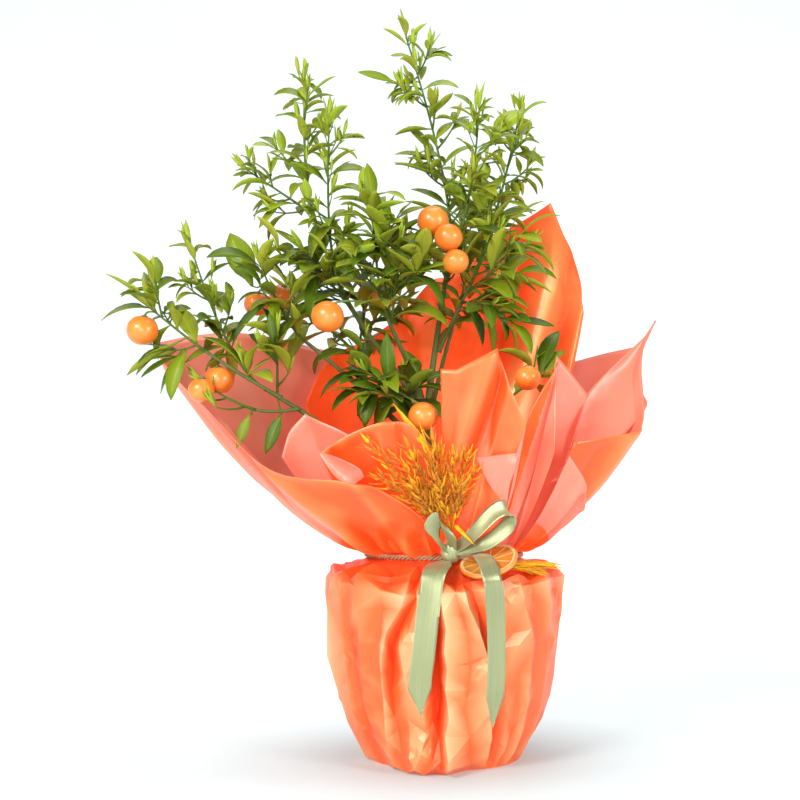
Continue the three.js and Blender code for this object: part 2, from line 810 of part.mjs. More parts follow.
function buildRibbon() {
  const curve = (points) => new THREE.CatmullRomCurve3(points.map(vec));
  const knot = new THREE.SphereGeometry(1, 7, 5).scale(9, 4.5, 9).translate(...KNOT);
  const loopWidth = (t) => RIBBON.width * (0.45 + 0.55 * Math.sin(Math.PI * t));
  const loops = Object.values(LOOPS).map(({ points, across }) =>
    solidOf(bandGeometry(curve(points), () => vec(across), loopWidth, RIBBON.thickness, 12)),
  );
  add("ribbon_bow", biggest(wasm.Manifold.union([solidOf(knot), ...loops])), GREEN_RIBBON);

  // gathered at the knot, full, and cut to a point
  const tailWidth = (t) => RIBBON.width * Math.min(1, 0.35 + 6 * t, 0.25 + 3.75 * (1 - t));
  for (const [name, { points, across }] of Object.entries(TAILS)) {
    const tail = bandGeometry(curve(points), () => vec(across), tailWidth, RIBBON.thickness, 12);
    add(name, solidOf(tail), GREEN_RIBBON);
  }
}

/** A dry bunch: stalks that fan out from a foot, each with seed heads along its upper part. */
function dryBunch(foot, stalks, rise, random) {
  const pieces = [];
  const front = new THREE.Vector3(0, -1, 0);
  for (const { to, heads, size } of stalks) {
    const end = vec(to);
    const middle = foot.clone().lerp(end, 0.5);
    middle.y -= 3;
    middle.z += rise;
    const stalk = new THREE.QuadraticBezierCurve3(foot, middle, end);
    pieces.push(shootSolid(stalk, { foot: 1.4, tip: 0.9, steps: 2 }));
    for (let k = 1; k <= heads; k++) {
      const s = 0.4 + (0.58 * k) / heads;
      const off = sideways(stalk.getTangentAt(s), k * GOLDEN + random());
      const along = stalk.getTangentAt(s).addScaledVector(off, 0.5).normalize();
      pieces.push(leafSolid(stalk.getPointAt(s), along, front, size));
    }
  }
  return biggest(wasm.Manifold.union(pieces));
}

const GRASS = { foot: [3, -78, 192.6], stalks: 5, heads: 4, head: 25, tall: 64 };
const STRAW_TUFT = { foot: [50, -74, 167.8], stalks: 3, heads: 2, head: 15 };
const SLICE = {
  radius: 24.5,
  thickness: 3.6,
  sides: 22,
  middle: [34, -92, 174.55],
  tip: 0.43,
  roll: -0.3,
};

function buildDried() {
  const random = seeded(5);
  const fan = [...Array(GRASS.stalks)].map((_, k) => {
    const lean = 18 * k - 52;
    const tall = GRASS.tall - 0.2 * Math.abs(lean + 15);
    const to = [lean, -103 - 0.26 * Math.abs(lean), GRASS.foot[2] + 3 + tall];
    return { to, heads: GRASS.heads, size: GRASS.head };
  });
  add("dried_grass", dryBunch(vec(GRASS.foot), fan, 6, random), STRAW);

  const tuft = [...Array(STRAW_TUFT.stalks)].map((_, k) => ({
    to: [92 - 3 * k, -53 - 6 * k, 159 - k],
    heads: STRAW_TUFT.heads,
    size: STRAW_TUFT.head,
  }));
  add("straw_tuft", dryBunch(vec(STRAW_TUFT.foot), tuft, 9, random), STRAW);

  const slice = new THREE.CylinderGeometry(SLICE.radius, SLICE.radius, SLICE.thickness, SLICE.sides);
  slice.rotateX(Math.PI / 2 + SLICE.tip).rotateY(SLICE.roll).translate(...SLICE.middle);
  add("citrus_slice", solidOf(slice), DRY_SLICE);
}

buildPot();
buildSkirt();
buildSheets();
buildTrunk();
buildBoughs();
buildTwine();
buildRibbon();
buildDried();
buildFoliage();

export default tree;
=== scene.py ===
"""The looks of a calamondin orange tree in a gift-wrapped pot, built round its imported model.

It stands in the part's own frame: +Z up, the origin in the middle of the flat underside, -Y the
side of the bow. Vectors, paths and meshes are in metres. Tables, fields and the heights and
widths that relief is worked out from are in millimetres and degrees, and mm() turns them.
"""
import logging
import math
import random
from dataclasses import dataclass, field
from enum import Enum
from typing import Callable, Sequence

import bmesh
import bpy
import numpy as np
from mathutils import Matrix, Vector, noise
from mathutils.bvhtree import BVHTree

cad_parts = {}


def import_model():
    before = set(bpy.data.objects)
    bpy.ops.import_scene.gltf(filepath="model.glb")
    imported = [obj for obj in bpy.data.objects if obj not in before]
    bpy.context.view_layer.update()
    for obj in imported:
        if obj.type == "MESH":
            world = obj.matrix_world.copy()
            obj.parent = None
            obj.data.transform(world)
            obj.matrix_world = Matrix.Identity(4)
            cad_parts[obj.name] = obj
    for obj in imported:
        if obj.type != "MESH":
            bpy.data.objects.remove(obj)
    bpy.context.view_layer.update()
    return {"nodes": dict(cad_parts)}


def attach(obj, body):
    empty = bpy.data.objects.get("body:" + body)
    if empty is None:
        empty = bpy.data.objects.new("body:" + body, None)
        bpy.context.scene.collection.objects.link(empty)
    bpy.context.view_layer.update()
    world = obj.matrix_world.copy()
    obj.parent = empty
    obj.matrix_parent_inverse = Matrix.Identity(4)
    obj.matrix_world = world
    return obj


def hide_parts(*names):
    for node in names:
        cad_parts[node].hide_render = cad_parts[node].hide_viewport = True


# short names for types that many functions share
Triple = tuple[float, float, float]
Pair = tuple[float, float]
BMesh = bmesh.types.BMesh
Piece = bpy.types.Object
Material = bpy.types.Material
Socket = bpy.types.NodeSocket

LOG = logging.getLogger("calamondin")
MM = 0.001
GOLDEN = math.radians(137.5)  # turn from one leaf to the next
UP = Vector((0.0, 0.0, 1.0))
FRONT = Vector((0.0, -1.0, 0.0))


def mm(*values: float) -> Vector:
    """A vector in metres from millimetres."""
    return Vector(values) * MM


def mms(places: Sequence[Triple]) -> list[Vector]:
    """Places in metres from places in millimetres."""
    return [mm(*place) for place in places]


def lerp(a: float, b: float, t: float) -> float:
    """The number a share t of the way from a to b."""
    return a + (b - a) * t


def clamp(x: float) -> float:
    """x, kept between 0 and 1."""
    return max(0.0, min(1.0, x))


def smoothstep(x: float, low: float, high: float) -> float:
    """0 below low, 1 above high, and a smooth rise between."""
    t = clamp((x - low) / (high - low))
    return t * t * (3 - 2 * t)


def grey(level: float) -> tuple[float, float, float, float]:
    """A linear grey with alpha 1."""
    return (level, level, level, 1.0)


def rgb(code: int) -> tuple[float, float, float, float]:
    """A colour code such as 0xff8800 as a linear colour with alpha 1."""
    shares = [((code >> shift) & 255) / 255 for shift in (16, 8, 0)]
    linear = [s / 12.92 if s <= 0.04045 else ((s + 0.055) / 1.055) ** 2.4 for s in shares]
    return (*linear, 1.0)


# ---- materials
class Board:
    """A material's node tree, with short calls for the nodes that the finishes share."""

    def __init__(self, name: str) -> None:
        """Starts a material that has only a Principled shader and an output."""
        self.material = bpy.data.materials.new(name)
        self.material.use_nodes = True
        self.tree = self.material.node_tree
        self.tree.nodes.clear()
        self.shader = self.node("BsdfPrincipled")
        self.feed(self.node("OutputMaterial"), Surface=self.shader.outputs["BSDF"])

    def node(self, kind: str, **settings: object) -> bpy.types.Node:
        """Adds a shader node and sets its properties."""
        made = self.tree.nodes.new("ShaderNode" + kind)
        for key, value in settings.items():
            setattr(made, key, value)
        return made

    def plug(self, socket: Socket, value: object) -> None:
        """Links another socket to an input, or sets the input's value."""
        if isinstance(value, Socket):
            self.tree.links.new(value, socket)
        else:
            socket.default_value = value

    def feed(self, node: bpy.types.Node, **inputs: object) -> bpy.types.Node:
        """Sets or links a node's inputs.

        Args:
            node: the node.
            inputs: an input's name, with _ for each space, and its value or the socket to link.

        Returns:
            The same node.
        """
        for key, value in inputs.items():
            self.plug(node.inputs[key.replace("_", " ")], value)
        return node

    def shade(self, **inputs: object) -> None:
        """Sets or links the shader's inputs."""
        self.feed(self.shader, **inputs)

    def coords(self, kind: str = "Object", scale: Triple = (1, 1, 1)) -> Socket:
        """The piece's own coordinates, Object or UV, stretched by a scale."""
        source = self.node("TexCoord").outputs[kind]
        return self.feed(self.node("Mapping"), Vector=source, Scale=scale).outputs["Vector"]

    def noise(self, vector: Socket, scale: float, detail: float = 3, roughness: float = 0.5) -> Socket:
        """A noise pattern's value from 0 to 1."""
        made = self.node("TexNoise")
        self.feed(made, Vector=vector, Scale=scale, Detail=detail, Roughness=roughness)
        return made.outputs["Fac"]

    def ramp(self, value: Socket, *stops: tuple[float, int]) -> Socket:
        """Colours by a value, each stop a place from 0 to 1 with its colour code."""
        return self.steps(value, [(place, rgb(code)) for place, code in stops])

    def levels(self, value: Socket, *stops: Pair) -> Socket:
        """Grey levels by a value, each stop a place from 0 to 1 with its level."""
        return self.steps(value, [(place, grey(level)) for place, level in stops])

    def steps(self, value: Socket, stops: Sequence[tuple[float, Sequence[float]]]) -> Socket:
        """Colours by a value, each stop a place from 0 to 1 with its linear colour."""
        made = self.feed(self.node("ValToRGB"), Fac=value)
        elements = made.color_ramp.elements
        while len(elements) < len(stops):
            elements.new(1.0)
        for element, (place, colour) in zip(elements, stops):
            element.position, element.color = place, colour
        return made.outputs["Color"]

    def math(self, operation: str, a: object, b: object = 0.0) -> Socket:
        """One Math node on two values or sockets."""
        made = self.node("Math", operation=operation)
        self.plug(made.inputs[0], a)
        self.plug(made.inputs[1], b)
        return made.outputs[0]

    def times(self, a: object, b: object) -> Socket:
        """The product of two values or sockets."""
        return self.math("MULTIPLY", a, b)

    def minus(self, a: object, b: object) -> Socket:
        """The difference of two values or sockets."""
        return self.math("SUBTRACT", a, b)

    def mix(self, share: object, a: object, b: object) -> Socket:
        """A colour between two colours or colour sockets, by a share."""
        made = self.node("Mix", data_type="RGBA")
        for place, value in ((0, share), (6, a), (7, b)):  # Factor, and A and B of the colour
            self.plug(made.inputs[place], value)
        return made.outputs[2]

    def split(self, vector: Socket) -> list[Socket]:
        """The three parts of a vector."""
        return list(self.feed(self.node("SeparateXYZ"), Vector=vector).outputs)

    def bump(self, height: Socket, strength: float, distance: float) -> None:
        """Adds relief, its depth in metres, to the shader. A second one goes on top of the first."""
        made = self.feed(self.node("Bump"), Height=height, Strength=strength, Distance=distance)
        before = self.shader.inputs["Normal"]
        if before.is_linked:
            self.feed(made, Normal=before.links[0].from_socket)
        self.shade(Normal=made.outputs["Normal"])


@dataclass(frozen=True)
class Finish:
    """A recipe for a material."""

    name: str  # the material's name

    def material(self) -> Material:
        """Builds the material."""
        board = Board(self.name)
        self.paint(board)
        return board.material

    def paint(self, board: Board) -> None:
        """Sets up the finish on a new material's board."""
        raise NotImplementedError


@dataclass(frozen=True)
class SatinFilm(Finish):
    """Pearly wrapping film: a soft wide gloss over a slightly uneven colour, with painted shade and
    highlights.
    """

    colour: int  # the film's colour code
    deep: int  # painted shade: its colour in its valleys
    painted_highlight: int  # painted highlight: its colour on its ridges
    glint: int  # painted glint: its colour on the highest of them
    roughness: float  # how wide the gloss spreads
    pearl: float  # how metallic the sheen is
    waves: float  # strength of the film's soft relief
    glow: float  # painted glow: light of its own colour, emitted in place of light that comes through it

    def paint(self, board: Board) -> None:
        """Colours the film by the mesh's ridge attribute, 0 in its valleys and 1 on its ridges: painted
        shade, highlights and glints, and a painted glow of the same colours.
        """
        place = board.coords()
        ridge = board.node("Attribute", attribute_name="ridge").outputs["Fac"]
        uneven = board.times(board.minus(board.noise(place, 14, 2), 0.5), 0.5)
        # painted shade in the valleys, painted highlights and glints on the ridges
        tone = board.ramp(
            board.math("ADD", ridge, uneven),
            (0.1, self.deep), (0.5, self.colour), (0.85, self.painted_highlight), (1.0, self.glint),
        )
        # the film also glows in these painted colours, a painted glow
        board.shade(
            Base_Color=tone, Roughness=self.roughness, Metallic=self.pearl, Specular_IOR_Level=0.7,
            Coat_Weight=0.25, Coat_Roughness=0.3, Emission_Color=tone, Emission_Strength=self.glow,
        )
        board.bump(board.noise(place, 38), self.waves, 0.0014)
        board.bump(board.noise(place, 700, 2), 0.1, 0.0002)


@dataclass(frozen=True)
class LeafSkin(Finish):
    """One side of a leaf, with a midrib and side veins on its own UV map."""

    colour: int  # the blade's colour code
    vein: int  # the colour of the midrib
    roughness: float  # lower on the upper side, which is glossy

    def paint(self, board: Board) -> None:
        """Draws the midrib along the middle and the side veins slanting away from it."""
        across, along, _ = board.split(board.coords("UV"))
        off = board.math("ABSOLUTE", board.minus(across, 0.5))
        midrib = board.levels(off, (0.0, 1.0), (0.05, 0.35), (0.09, 0.0))
        veins = board.math("PINGPONG", board.minus(board.times(along, 9.0), board.times(off, 7.0)), 0.5)
        blotch = board.times(board.noise(board.coords(), 60, 2), 0.35)
        tone = board.mix(blotch, rgb(self.colour), rgb(self.vein))
        board.shade(
            Base_Color=board.mix(board.times(midrib, 0.55), tone, rgb(self.vein)),
            Roughness=self.roughness, Specular_IOR_Level=0.25,
        )
        board.bump(board.levels(veins, (0.0, 0.0), (0.5, 1.0)), 0.25, 0.0004)
        board.bump(midrib, 0.3, 0.0005)


@dataclass(frozen=True)
class Bark(Finish):
    """Bark that goes from woody brown low on the trunk to green on the young wood."""

    wood: int  # colour of the old wood
    groove: int  # colour in its grooves
    green: int  # colour of the young wood
    brown_up_to: float  # height in metres at which the wood starts to turn green

    def paint(self, board: Board) -> None:
        """Streaks the wood along the height and turns it green further up."""
        place = board.coords()
        streaks = board.noise(board.coords(scale=(1, 1, 0.22)), 420, 4, 0.65)
        young = board.times(board.minus(board.split(place)[2], self.brown_up_to), 9.0)
        share = board.levels(board.math("ADD", young, board.noise(place, 50)), (0.35, 0.0), (0.95, 1.0))
        old = board.ramp(streaks, (0.35, self.groove), (0.65, self.wood))
        fresh = board.mix(board.times(streaks, 0.5), rgb(self.green), rgb(self.wood))
        board.shade(Base_Color=board.mix(share, old, fresh), Roughness=0.7, Specular_IOR_Level=0.3)
        board.bump(streaks, 0.6, 0.0007)
        board.bump(board.noise(place, 1500, 2), 0.3, 0.0003)


@dataclass(frozen=True)
class Peel(Finish):
    """Citrus peel with fine oil glands."""

    colour: int  # the ripe colour
    blush: int  # the colour of its paler patches

    def paint(self, board: Board) -> None:
        """Sets patches of two colours, and a pit for every gland."""
        place = board.coords()
        glands = board.feed(board.node("TexVoronoi", feature="F1"), Vector=place, Scale=900.0)
        board.shade(
            Base_Color=board.ramp(board.noise(place, 55), (0.35, self.colour), (0.75, self.blush)),
            Roughness=0.3, Specular_IOR_Level=0.55, Coat_Weight=0.2, Coat_Roughness=0.2,
        )
        board.bump(board.levels(glands.outputs["Distance"], (0.0, 0.0), (0.45, 1.0)), 0.25, 0.0003)


@dataclass(frozen=True)
class Satin(Finish):
    """Satin ribbon: fine threads along it, a soft gloss, and a tighter woven edge."""

    colour: int  # the ribbon's colour code
    light: int  # the colour of its raised threads

    def paint(self, board: Board) -> None:
        """Weaves the threads, the edges and the ribs on the ribbon's UV map."""
        across, along, _ = board.split(board.coords("UV"))
        threads = board.math("PINGPONG", board.times(across, 60.0), 0.5)
        off = board.math("ABSOLUTE", board.minus(across, 0.5))
        edge = board.levels(off, (0.44, 0.0), (0.46, 1.0))
        streak = board.noise(board.coords("UV", (26, 1.5, 1)), 1.0, 2)
        cloth = board.mix(streak, rgb(self.colour), rgb(self.light))
        board.shade(
            Base_Color=board.mix(board.times(edge, 0.45), cloth, rgb(self.light)),
            Roughness=0.34, Anisotropic=0.6, Sheen_Weight=0.2, Sheen_Roughness=0.4,
            Specular_IOR_Level=0.7, Metallic=0.5,
        )
        board.bump(threads, 0.2, 0.00012)
        board.bump(edge, 0.3, 0.0003)
        board.bump(board.math("PINGPONG", board.times(along, 220.0), 0.5), 0.06, 0.0001)


@dataclass(frozen=True)
class Fibre(Finish):
    """Twine, straw and other dry fibre, streaked by a fine noise."""

    colour: int  # main colour
    dark: int  # colour of the shaded streaks
    scale: float  # how fine the streaks are
    roughness: float = 0.75  # shader roughness

    def paint(self, board: Board) -> None:
        """Sets the streaks and a finer relief."""
        place = board.coords()
        streaks = board.noise(place, self.scale, 4, 0.6)
        board.shade(
            Base_Color=board.ramp(streaks, (0.35, self.dark), (0.62, self.colour)),
            Roughness=self.roughness, Specular_IOR_Level=0.3, Sheen_Weight=0.1,
        )
        board.bump(board.noise(place, self.scale * 2.5), 0.5, 0.0003)


@dataclass(frozen=True)
class Pulp(Finish):
    """The cut face of a dried citrus slice: segments between pale walls, inside a pale ring."""

    flesh: int  # colour of the dried pulp
    dark: int  # colour in its hollows
    pith: int  # colour of the walls and the ring
    segments: int  # how many segments there are

    def paint(self, board: Board) -> None:
        """Draws on a UV map that has the slice's middle at 0.5, 0.5 and its rim at radius 0.5."""
        x, y = (board.minus(part, 0.5) for part in board.split(board.coords("UV"))[:2])
        far = board.math("SQRT", board.math("ADD", board.times(x, x), board.times(y, y)))
        turn = board.times(board.math("ARCTAN2", y, x), self.segments / math.tau)
        wall = board.times(board.math("PINGPONG", turn, 0.5), far)
        in_wall = board.levels(wall, (0.0, 1.0), (0.014, 0.9), (0.03, 0.0))
        ring = board.levels(far, (0.415, 0.0), (0.435, 1.0), (0.475, 1.0), (0.49, 0.0))
        core = board.levels(far, (0.03, 1.0), (0.06, 0.0))
        pale = board.math("MAXIMUM", board.math("MAXIMUM", in_wall, ring), core)
        sacs = board.noise(board.coords("UV", (30, 30, 1)), 2.0, 4, 0.65)
        flesh = board.ramp(sacs, (0.3, self.dark), (0.62, self.flesh))
        tone = board.mix(pale, flesh, rgb(self.pith))
        board.shade(Base_Color=tone, Roughness=0.55, Specular_IOR_Level=0.35)
        board.bump(pale, 0.7, 0.0009)
        board.bump(sacs, 0.6, 0.0008)


@dataclass(frozen=True)
class Speckled(Finish):
    """A plain matte surface with a speckle and a fine relief, for the pot and the compost."""

    colour: int  # main colour
    fleck: int  # the colour of its flecks
    scale: float  # how fine the flecks are
    roughness: float  # shader roughness
    relief: float  # depth of the relief in metres

    def paint(self, board: Board) -> None:
        """Sets the speckle and its relief."""
        grain = board.noise(board.coords(), self.scale, 5, 0.65)
        tone = board.ramp(grain, (0.42, self.colour), (0.7, self.fleck))
        board.shade(Base_Color=tone, Roughness=self.roughness, Specular_IOR_Level=0.3)
        board.bump(grain, 0.6, self.relief)


@dataclass(frozen=True)
class Backdrop(Finish):
    """The studio's white, lit from inside, with a painted soft shadow round the pot where the glow is weaker.
    """

    colour: int  # main colour
    light: int  # the colour of its paler patches

    def paint(self, board: Board) -> None:
        """Sets a glow that grows with the distance from the pot, which paints a soft shadow round it, and up
        the wall.
        """
        place = board.coords()
        tone = board.ramp(board.noise(place, 3), (0.3, self.colour), (0.7, self.light))
        far = board.feed(board.node("VectorMath", operation="LENGTH"), Vector=place).outputs["Value"]
        # painted shadow: less glow near the pot
        shade = board.levels(far, (0.09, 0.42), (0.15, 0.79), (0.22, 1.0))
        glow = board.times(shade, board.levels(board.split(place)[1], (0.0, 0.42), (0.9, 0.66)))
        board.shade(Base_Color=tone, Roughness=0.7, Emission_Color=grey(1.0), Emission_Strength=glow)


class Film(Enum):
    """The films of the gift wrap."""

    # name, colour, painted shade, painted highlight, painted glint, roughness, pearl, waves and painted glow
    ORANGE = SatinFilm("orange_film", 0xFF581C, 0xF03C0C, 0xFF9852, 0xFFD09A, 0.4, 0.35, 0.3, 0.35)
    CRUSHED = SatinFilm("crushed_orange_film", 0xFC6C2C, 0xEE521C, 0xFFA46C, 0xFFBC8A, 0.5, 0.32, 0.08, 0.04)
    PINK = SatinFilm("pink_film", 0xE67860, 0xDE6650, 0xF2987E, 0xF8B09C, 0.45, 0.08, 0.3, 0.16)

    def slot(self) -> str:
        """The material slot of a piece of this film."""
        return "pink_paper" if self is Film.PINK else "orange_paper"


class Tint(Enum):
    """The leaf colours: the upper side's, the veins' and the under side's."""

    DEEP = (0x42600C, 0x7C8C24, 0x70801E)
    GREEN = (0x6A800E, 0x9CA62A, 0x949A28)
    BRIGHT = (0x849018, 0xACB23A, 0x9CA02E)
    YOUNG = (0x88A01C, 0xACBC40, 0x98AC30)

    def skins(self) -> list[LeafSkin]:
        """The upper and the under side's finish."""
        colour, vein, under = self.value
        name = "leaf_" + self.name.lower()
        return [LeafSkin(name, colour, vein, 0.36), LeafSkin(name + "_under", under, vein, 0.6)]


BARK = Bark("bark", 0x8A7A5C, 0x54462F, 0x4A6420, 0.2)
GREEN_TWIG = Bark("green_twig", 0x5A6C24, 0x384A1A, 0x4E6820, 0.1)
PEEL = Peel("peel", 0xF57A22, 0xFC963E)
CALYX = Fibre("calyx", 0x7D9A48, 0x55702C, 600)
RIBBON_SATIN = Satin("ribbon_satin", 0x8E9866, 0xB8BA8E)
JUTE = Fibre("jute", 0xC0A078, 0x8E7050, 900, 0.9)
GOLD_GRASS = Fibre("gold_grass", 0xE8980C, 0xBC6604, 200, 0.6)
YELLOW_STRAW = Fibre("yellow_straw", 0xFCC010, 0xE69C06, 300, 0.5)
DRY_PULP = Pulp("dry_pulp", 0xE79A34, 0xB8661A, 0xF2C98A, 10)
DRY_PEEL = Peel("dry_peel", 0xD9761A, 0xE89A40)
POT_PLASTIC = Speckled("pot_plastic", 0x2C2C2A, 0x3A3A37, 900, 0.55, 0.0001)
COMPOST = Speckled("compost", 0x2B1D13, 0x5A4230, 260, 0.95, 0.003)
FLOOR = Backdrop("studio_floor", 0xB0C4C8, 0xB8CCD0)

MATERIALS: dict[object, Material] = {}  # the films and the ribbon, which several pieces share


# ---- curves and meshes
class Path:
    """A curve kept as closely spaced points and read by its share of length."""

    def __init__(self, points: Sequence[Vector]) -> None:
        """Keeps the points and the length up to each of them."""
        self.points = [Vector(p) for p in points]
        self.lengths = [0.0]
        for a, b in zip(self.points, self.points[1:]):
            self.lengths.append(self.lengths[-1] + (b - a).length)

    @classmethod
    def arc(cls, a: Vector, b: Vector, c: Vector, steps: int = 24) -> "Path":
        """A quadratic curve from a to c that is drawn towards b."""
        shares = [i / steps for i in range(steps + 1)]
        return cls([a * (1 - t) ** 2 + b * (2 * t * (1 - t)) + c * t * t for t in shares])

    @classmethod
    def through(cls, knots: Sequence[Vector]) -> "Path":
        """A smooth curve through every knot."""
        padded = [knots[0] * 2 - knots[1], *knots, knots[-1] * 2 - knots[-2]]
        points = []
        for a, b, c, d in zip(padded, padded[1:], padded[2:], padded[3:]):
            for t in (i / KNOT_STEPS for i in range(KNOT_STEPS)):
                place = b * 2 + (c - a) * t + (a * 2 - b * 5 + c * 4 - d) * t**2
                points.append((place + (b * 3 - a - c * 3 + d) * t**3) / 2)
        return cls([*points, knots[-1]])

    @property
    def length(self) -> float:
        """The curve's length in metres."""
        return self.lengths[-1]

    def at(self, t: float) -> Vector:
        """The point at a share t of the length."""
        want = clamp(t) * self.length
        i = min(max(int(np.searchsorted(self.lengths, want, "right")) - 1, 0), len(self.points) - 2)
        span = self.lengths[i + 1] - self.lengths[i]
        return self.points[i].lerp(self.points[i + 1], (want - self.lengths[i]) / span if span else 0.0)

    def tangent(self, t: float) -> Vector:
        """The direction of the curve at a share t of the length."""
        return (self.at(min(1.0, t + APART)) - self.at(max(0.0, t - APART))).normalized()

    def marks(self) -> list[Vector]:
        """Evenly spaced places from end to end, to measure distances to the curve by."""
        return [self.at(k / MARKS) for k in range(MARKS + 1)]


KNOT_STEPS = 10  # steps from one knot of a smooth curve to the next
APART = 0.02  # how far each way a tangent is measured, as a share of the length
MARKS = 24  # steps between a path's marks


def sideways(tangent: Vector, angle: float) -> Vector:
    """A direction square to a tangent, turned about it by an angle from straight up."""
    reference = Vector((1, 0, 0)) if abs(tangent.z) > 0.95 else UP
    side = (reference - tangent * reference.dot(tangent)).normalized()
    return Matrix.Rotation(angle, 3, tangent) @ side


def frames(path: Path, steps: int) -> list[Matrix]:
    """Unturned frames along a path: X and Y across it and Z along it, each at its own place."""
    made = []
    side = sideways(path.tangent(0), 0)
    for k in range(steps + 1):
        along = path.tangent(k / steps)
        side = (side - along * side.dot(along)).normalized()
        across = along.cross(side)
        turn = Matrix((side, across, along)).transposed().to_4x4()
        made.append(Matrix.Translation(path.at(k / steps)) @ turn)
    return made


def taper(foot: float, tip: float) -> Callable[[float], float]:
    """A radius in metres at a share of a length, from those at its foot and tip in millimetres."""
    return lambda t: lerp(foot, tip, t) * MM


def sweep_tube(
    bm: BMesh, path: Path, radius_at: Callable[[float], float], sides: int, steps: int
) -> list[bmesh.types.BMVert]:
    """Draws a ring along a path, ring by ring, and closes both ends.

    Args:
        bm: the mesh to add to.
        path: the middle line.
        radius_at: the radius at a share of the length.
        sides: corners of the ring.
        steps: stretches along the path.

    Returns:
        The new vertices, ring after ring.
    """
    ring = bmesh.ops.create_circle(bm, cap_ends=True, radius=1.0, segments=sides)["verts"]
    places = [m @ Matrix.Scale(radius_at(k / steps), 4) for k, m in enumerate(frames(path, steps))]
    bmesh.ops.transform(bm, matrix=places[0], verts=ring)
    edges = list(dict.fromkeys(e for v in ring for e in v.link_edges))
    made = list(ring)
    for before, after in zip(places, places[1:]):
        grown = bmesh.ops.extrude_edge_only(bm, edges=edges)["geom"]
        ring = [g for g in grown if isinstance(g, bmesh.types.BMVert)]
        edges = [g for g in grown if isinstance(g, bmesh.types.BMEdge)]
        bmesh.ops.transform(bm, matrix=after @ before.inverted(), verts=ring)
        made += ring
    bmesh.ops.contextual_create(bm, geom=edges)
    return made


def unwrap(bm: BMesh, flat: Callable[[Vector], Pair]) -> None:
    """Gives a mesh a UV map that lays each vertex where flat puts its place."""
    uv = bm.loops.layers.uv.new("UVMap")
    for face in bm.faces:
        for loop in face.loops:
            loop[uv].uv = flat(loop.vert.co)


def link_piece(name: str, mesh: bpy.types.Mesh, materials: Sequence[Material]) -> Piece:
    """Gives a mesh its materials and smooth shading and links it as an object at the origin."""
    for material in materials:
        mesh.materials.append(material)
    mesh.polygons.foreach_set("use_smooth", [True] * len(mesh.polygons))
    made = bpy.data.objects.new(name, mesh)
    bpy.context.scene.collection.objects.link(made)
    return made


def piece_of(name: str, bm: BMesh, materials: Sequence[Material], outward: bool = True) -> Piece:
    """Turns a finished bmesh into an object, with its faces turned outwards where outward is set."""
    if outward:
        bmesh.ops.recalc_face_normals(bm, faces=bm.faces[:])
    mesh = bpy.data.meshes.new(name)
    bm.to_mesh(mesh)
    bm.free()
    return link_piece(name, mesh, materials)


def carry(piece: Piece, slot: str, *nodes: str) -> Piece:
    """Lets a piece ride on the part's one body, in place of some solids."""
    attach(piece, "root")
    if nodes:
        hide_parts(*nodes)
    LOG.info("%s: %d faces, in place of %s", piece.name, len(piece.data.polygons), nodes or "nothing")
    return piece


def thicken(bm: BMesh, thick: float) -> list[bmesh.types.BMFace]:
    """Gives a sheet its thickness, inwards from its faces.

    Args:
        bm: the sheet, with its normals outwards.
        thick: in metres.

    Returns:
        The faces of the inner side and the rim.
    """
    bm.normal_update()
    outer, verts = bm.faces[:], bm.verts[:]
    rim = [e for e in bm.edges if e.is_boundary]
    made = bmesh.ops.duplicate(bm, geom=verts + bm.edges[:] + outer)
    for v in verts:
        made["vert_map"][v].co = v.co - v.normal * thick
    inner = [g for g in made["geom"] if isinstance(g, bmesh.types.BMFace)]
    bmesh.ops.reverse_faces(bm, faces=inner)
    joined = bmesh.ops.bridge_loops(bm, edges=rim + [made["edge_map"][e] for e in rim])
    return inner + joined["faces"]


BLADE_THICK = 0.0005  # a leaf's and a husk's, in metres
BEND = 1.2  # how much more a blade bends near its tip


